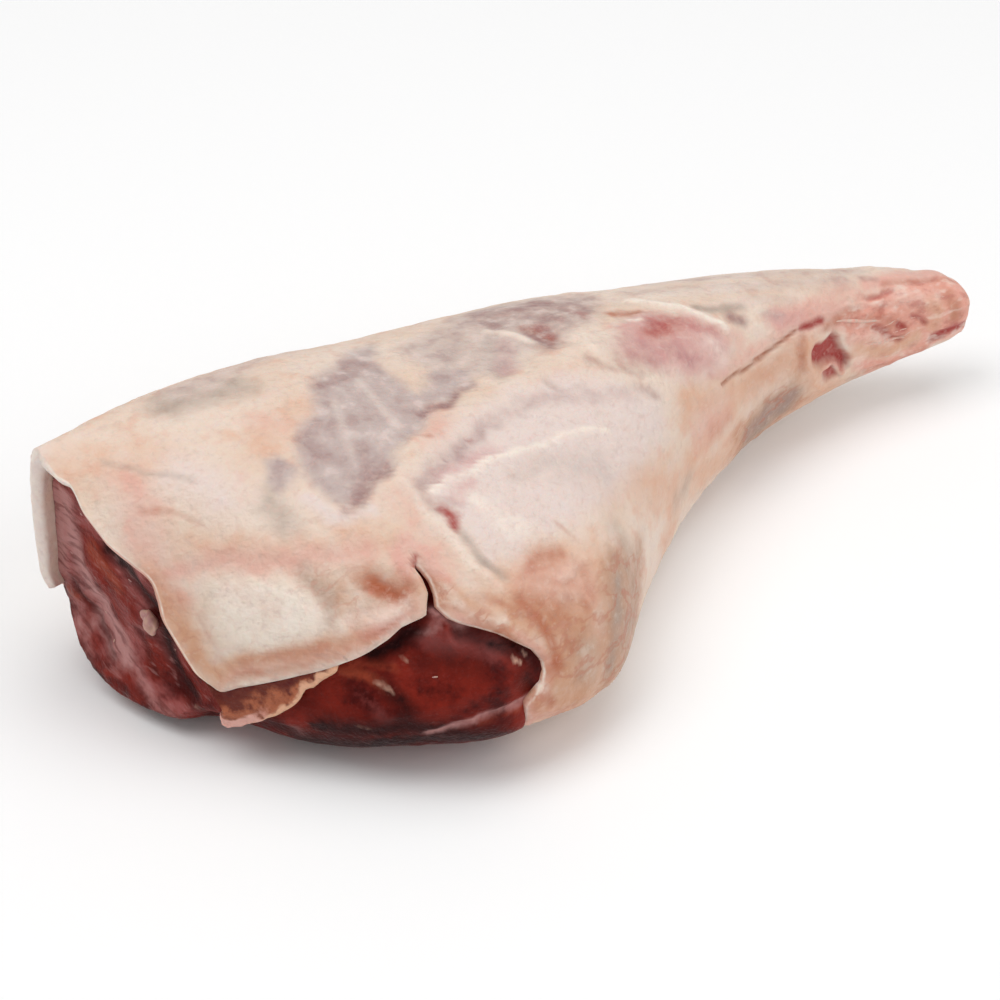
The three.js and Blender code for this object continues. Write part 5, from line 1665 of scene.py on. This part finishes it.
class LAMB_OT_stage(Operator):
    """Sets the floor, the soft lights and the camera"""
    bl_idname = "lamb.stage"
    bl_label = "Stage"

    TARGET = (-30.9, 7.6, 36.0)
    AZIMUTH, ELEVATION = -28.0, 38.0
    DISTANCE = 0.935
    LENS = 91.0
    FLOOR_REACH = 4.0
    SKY = 0.45  # strength of the white light from all round
    # name, place (m), size (m), power (W)
    LIGHTS = [
        ("key", (-0.9, 0.2, 1.9), 1.3, 13.0),
        ("fill", (1.1, -1.3, 1.3), 1.6, 11.0),
        ("top", (0.25, 0.2, 2.1), 1.8, 11.0),
    ]

    def execute(self, context):
        scene = context.scene
        material, tree = new_material("Matt white card")
        skin_shader(tree, settings(context)[1]["floor"], mottle(tree, 0.004, detail=2), (0.75, 0.85))
        mesh = bpy.data.meshes.new("floor")
        r = self.FLOOR_REACH
        mesh.from_pydata([(-r, -r, 0), (r, -r, 0), (r, r, 0), (-r, r, 0)], [], [(0, 1, 2, 3)])
        mesh.materials.append(material)
        floor = bpy.data.objects.new("floor", mesh)
        scene.collection.objects.link(floor)
        target = Vector(self.TARGET) * MM
        for name, place, size, power in self.LIGHTS:
            light = bpy.data.lights.new(name, "AREA")
            light.shape, light.size, light.energy = "DISK", size, power
            lamp = bpy.data.objects.new(name, light)
            lamp.location = place
            lamp.rotation_euler = (target - Vector(place)).to_track_quat("-Z", "Y").to_euler()
            scene.collection.objects.link(lamp)
        world = bpy.data.worlds.new("studio")
        world.use_nodes = True
        background = world.node_tree.nodes["Background"].inputs
        background[0].default_value, background[1].default_value = (1.0, 1.0, 1.0, 1.0), self.SKY
        scene.world = world
        azimuth, elevation = math.radians(self.AZIMUTH), math.radians(self.ELEVATION)
        back = Vector((math.sin(azimuth) * math.cos(elevation), -math.cos(azimuth) * math.cos(elevation),
                       math.sin(elevation)))
        lens = bpy.data.cameras.new("camera")
        lens.lens, lens.sensor_width, lens.clip_start = self.LENS, 36.0, 0.05
        camera = bpy.data.objects.new("camera", lens)
        camera.location = target + back * self.DISTANCE
        camera.rotation_euler = (-back).to_track_quat("-Z", "Y").to_euler()
        scene.collection.objects.link(camera)
        scene.camera = camera
        scene.view_settings.view_transform = "Standard"
        return {"FINISHED"}


class LAMB_PT_panel(Panel):
    """Lists the pieces of the leg of lamb"""
    bl_label = "Raw leg of lamb"
    bl_idname = "LAMB_PT_panel"
    bl_space_type = "VIEW_3D"
    bl_region_type = "UI"
    bl_category = "Lamb"

    def draw(self, context):
        layout = self.layout
        for name in LambSizes.__annotations__:
            layout.prop(context.scene.lamb_sizes, name)
        for name in COLOURS:
            layout.prop(context.scene.lamb_colours, name)
        for operator in BUILD_ORDER:
            layout.operator(operator.bl_idname)


BUILD_ORDER = (LAMB_OT_stage, LAMB_OT_lean_meat, LAMB_OT_fat_cover, LAMB_OT_flank_muscle, LAMB_OT_knuckle,
               LAMB_OT_sinews, LAMB_OT_marbling)
CLASSES = (LambSizes, LambColours, *BUILD_ORDER, LAMB_PT_panel)


def register():
    for cls in CLASSES:
        bpy.utils.register_class(cls)
    bpy.types.Scene.lamb_sizes = PointerProperty(type=LambSizes)
    bpy.types.Scene.lamb_colours = PointerProperty(type=LambColours)


def unregister():
    del bpy.types.Scene.lamb_colours
    del bpy.types.Scene.lamb_sizes
    for cls in reversed(CLASSES):
        bpy.utils.unregister_class(cls)


def main():
    register()
    for operator in BUILD_ORDER:
        group, name = operator.bl_idname.split(".")
        getattr(getattr(bpy.ops, group), name)()


if __name__ == "__main__":
    main()
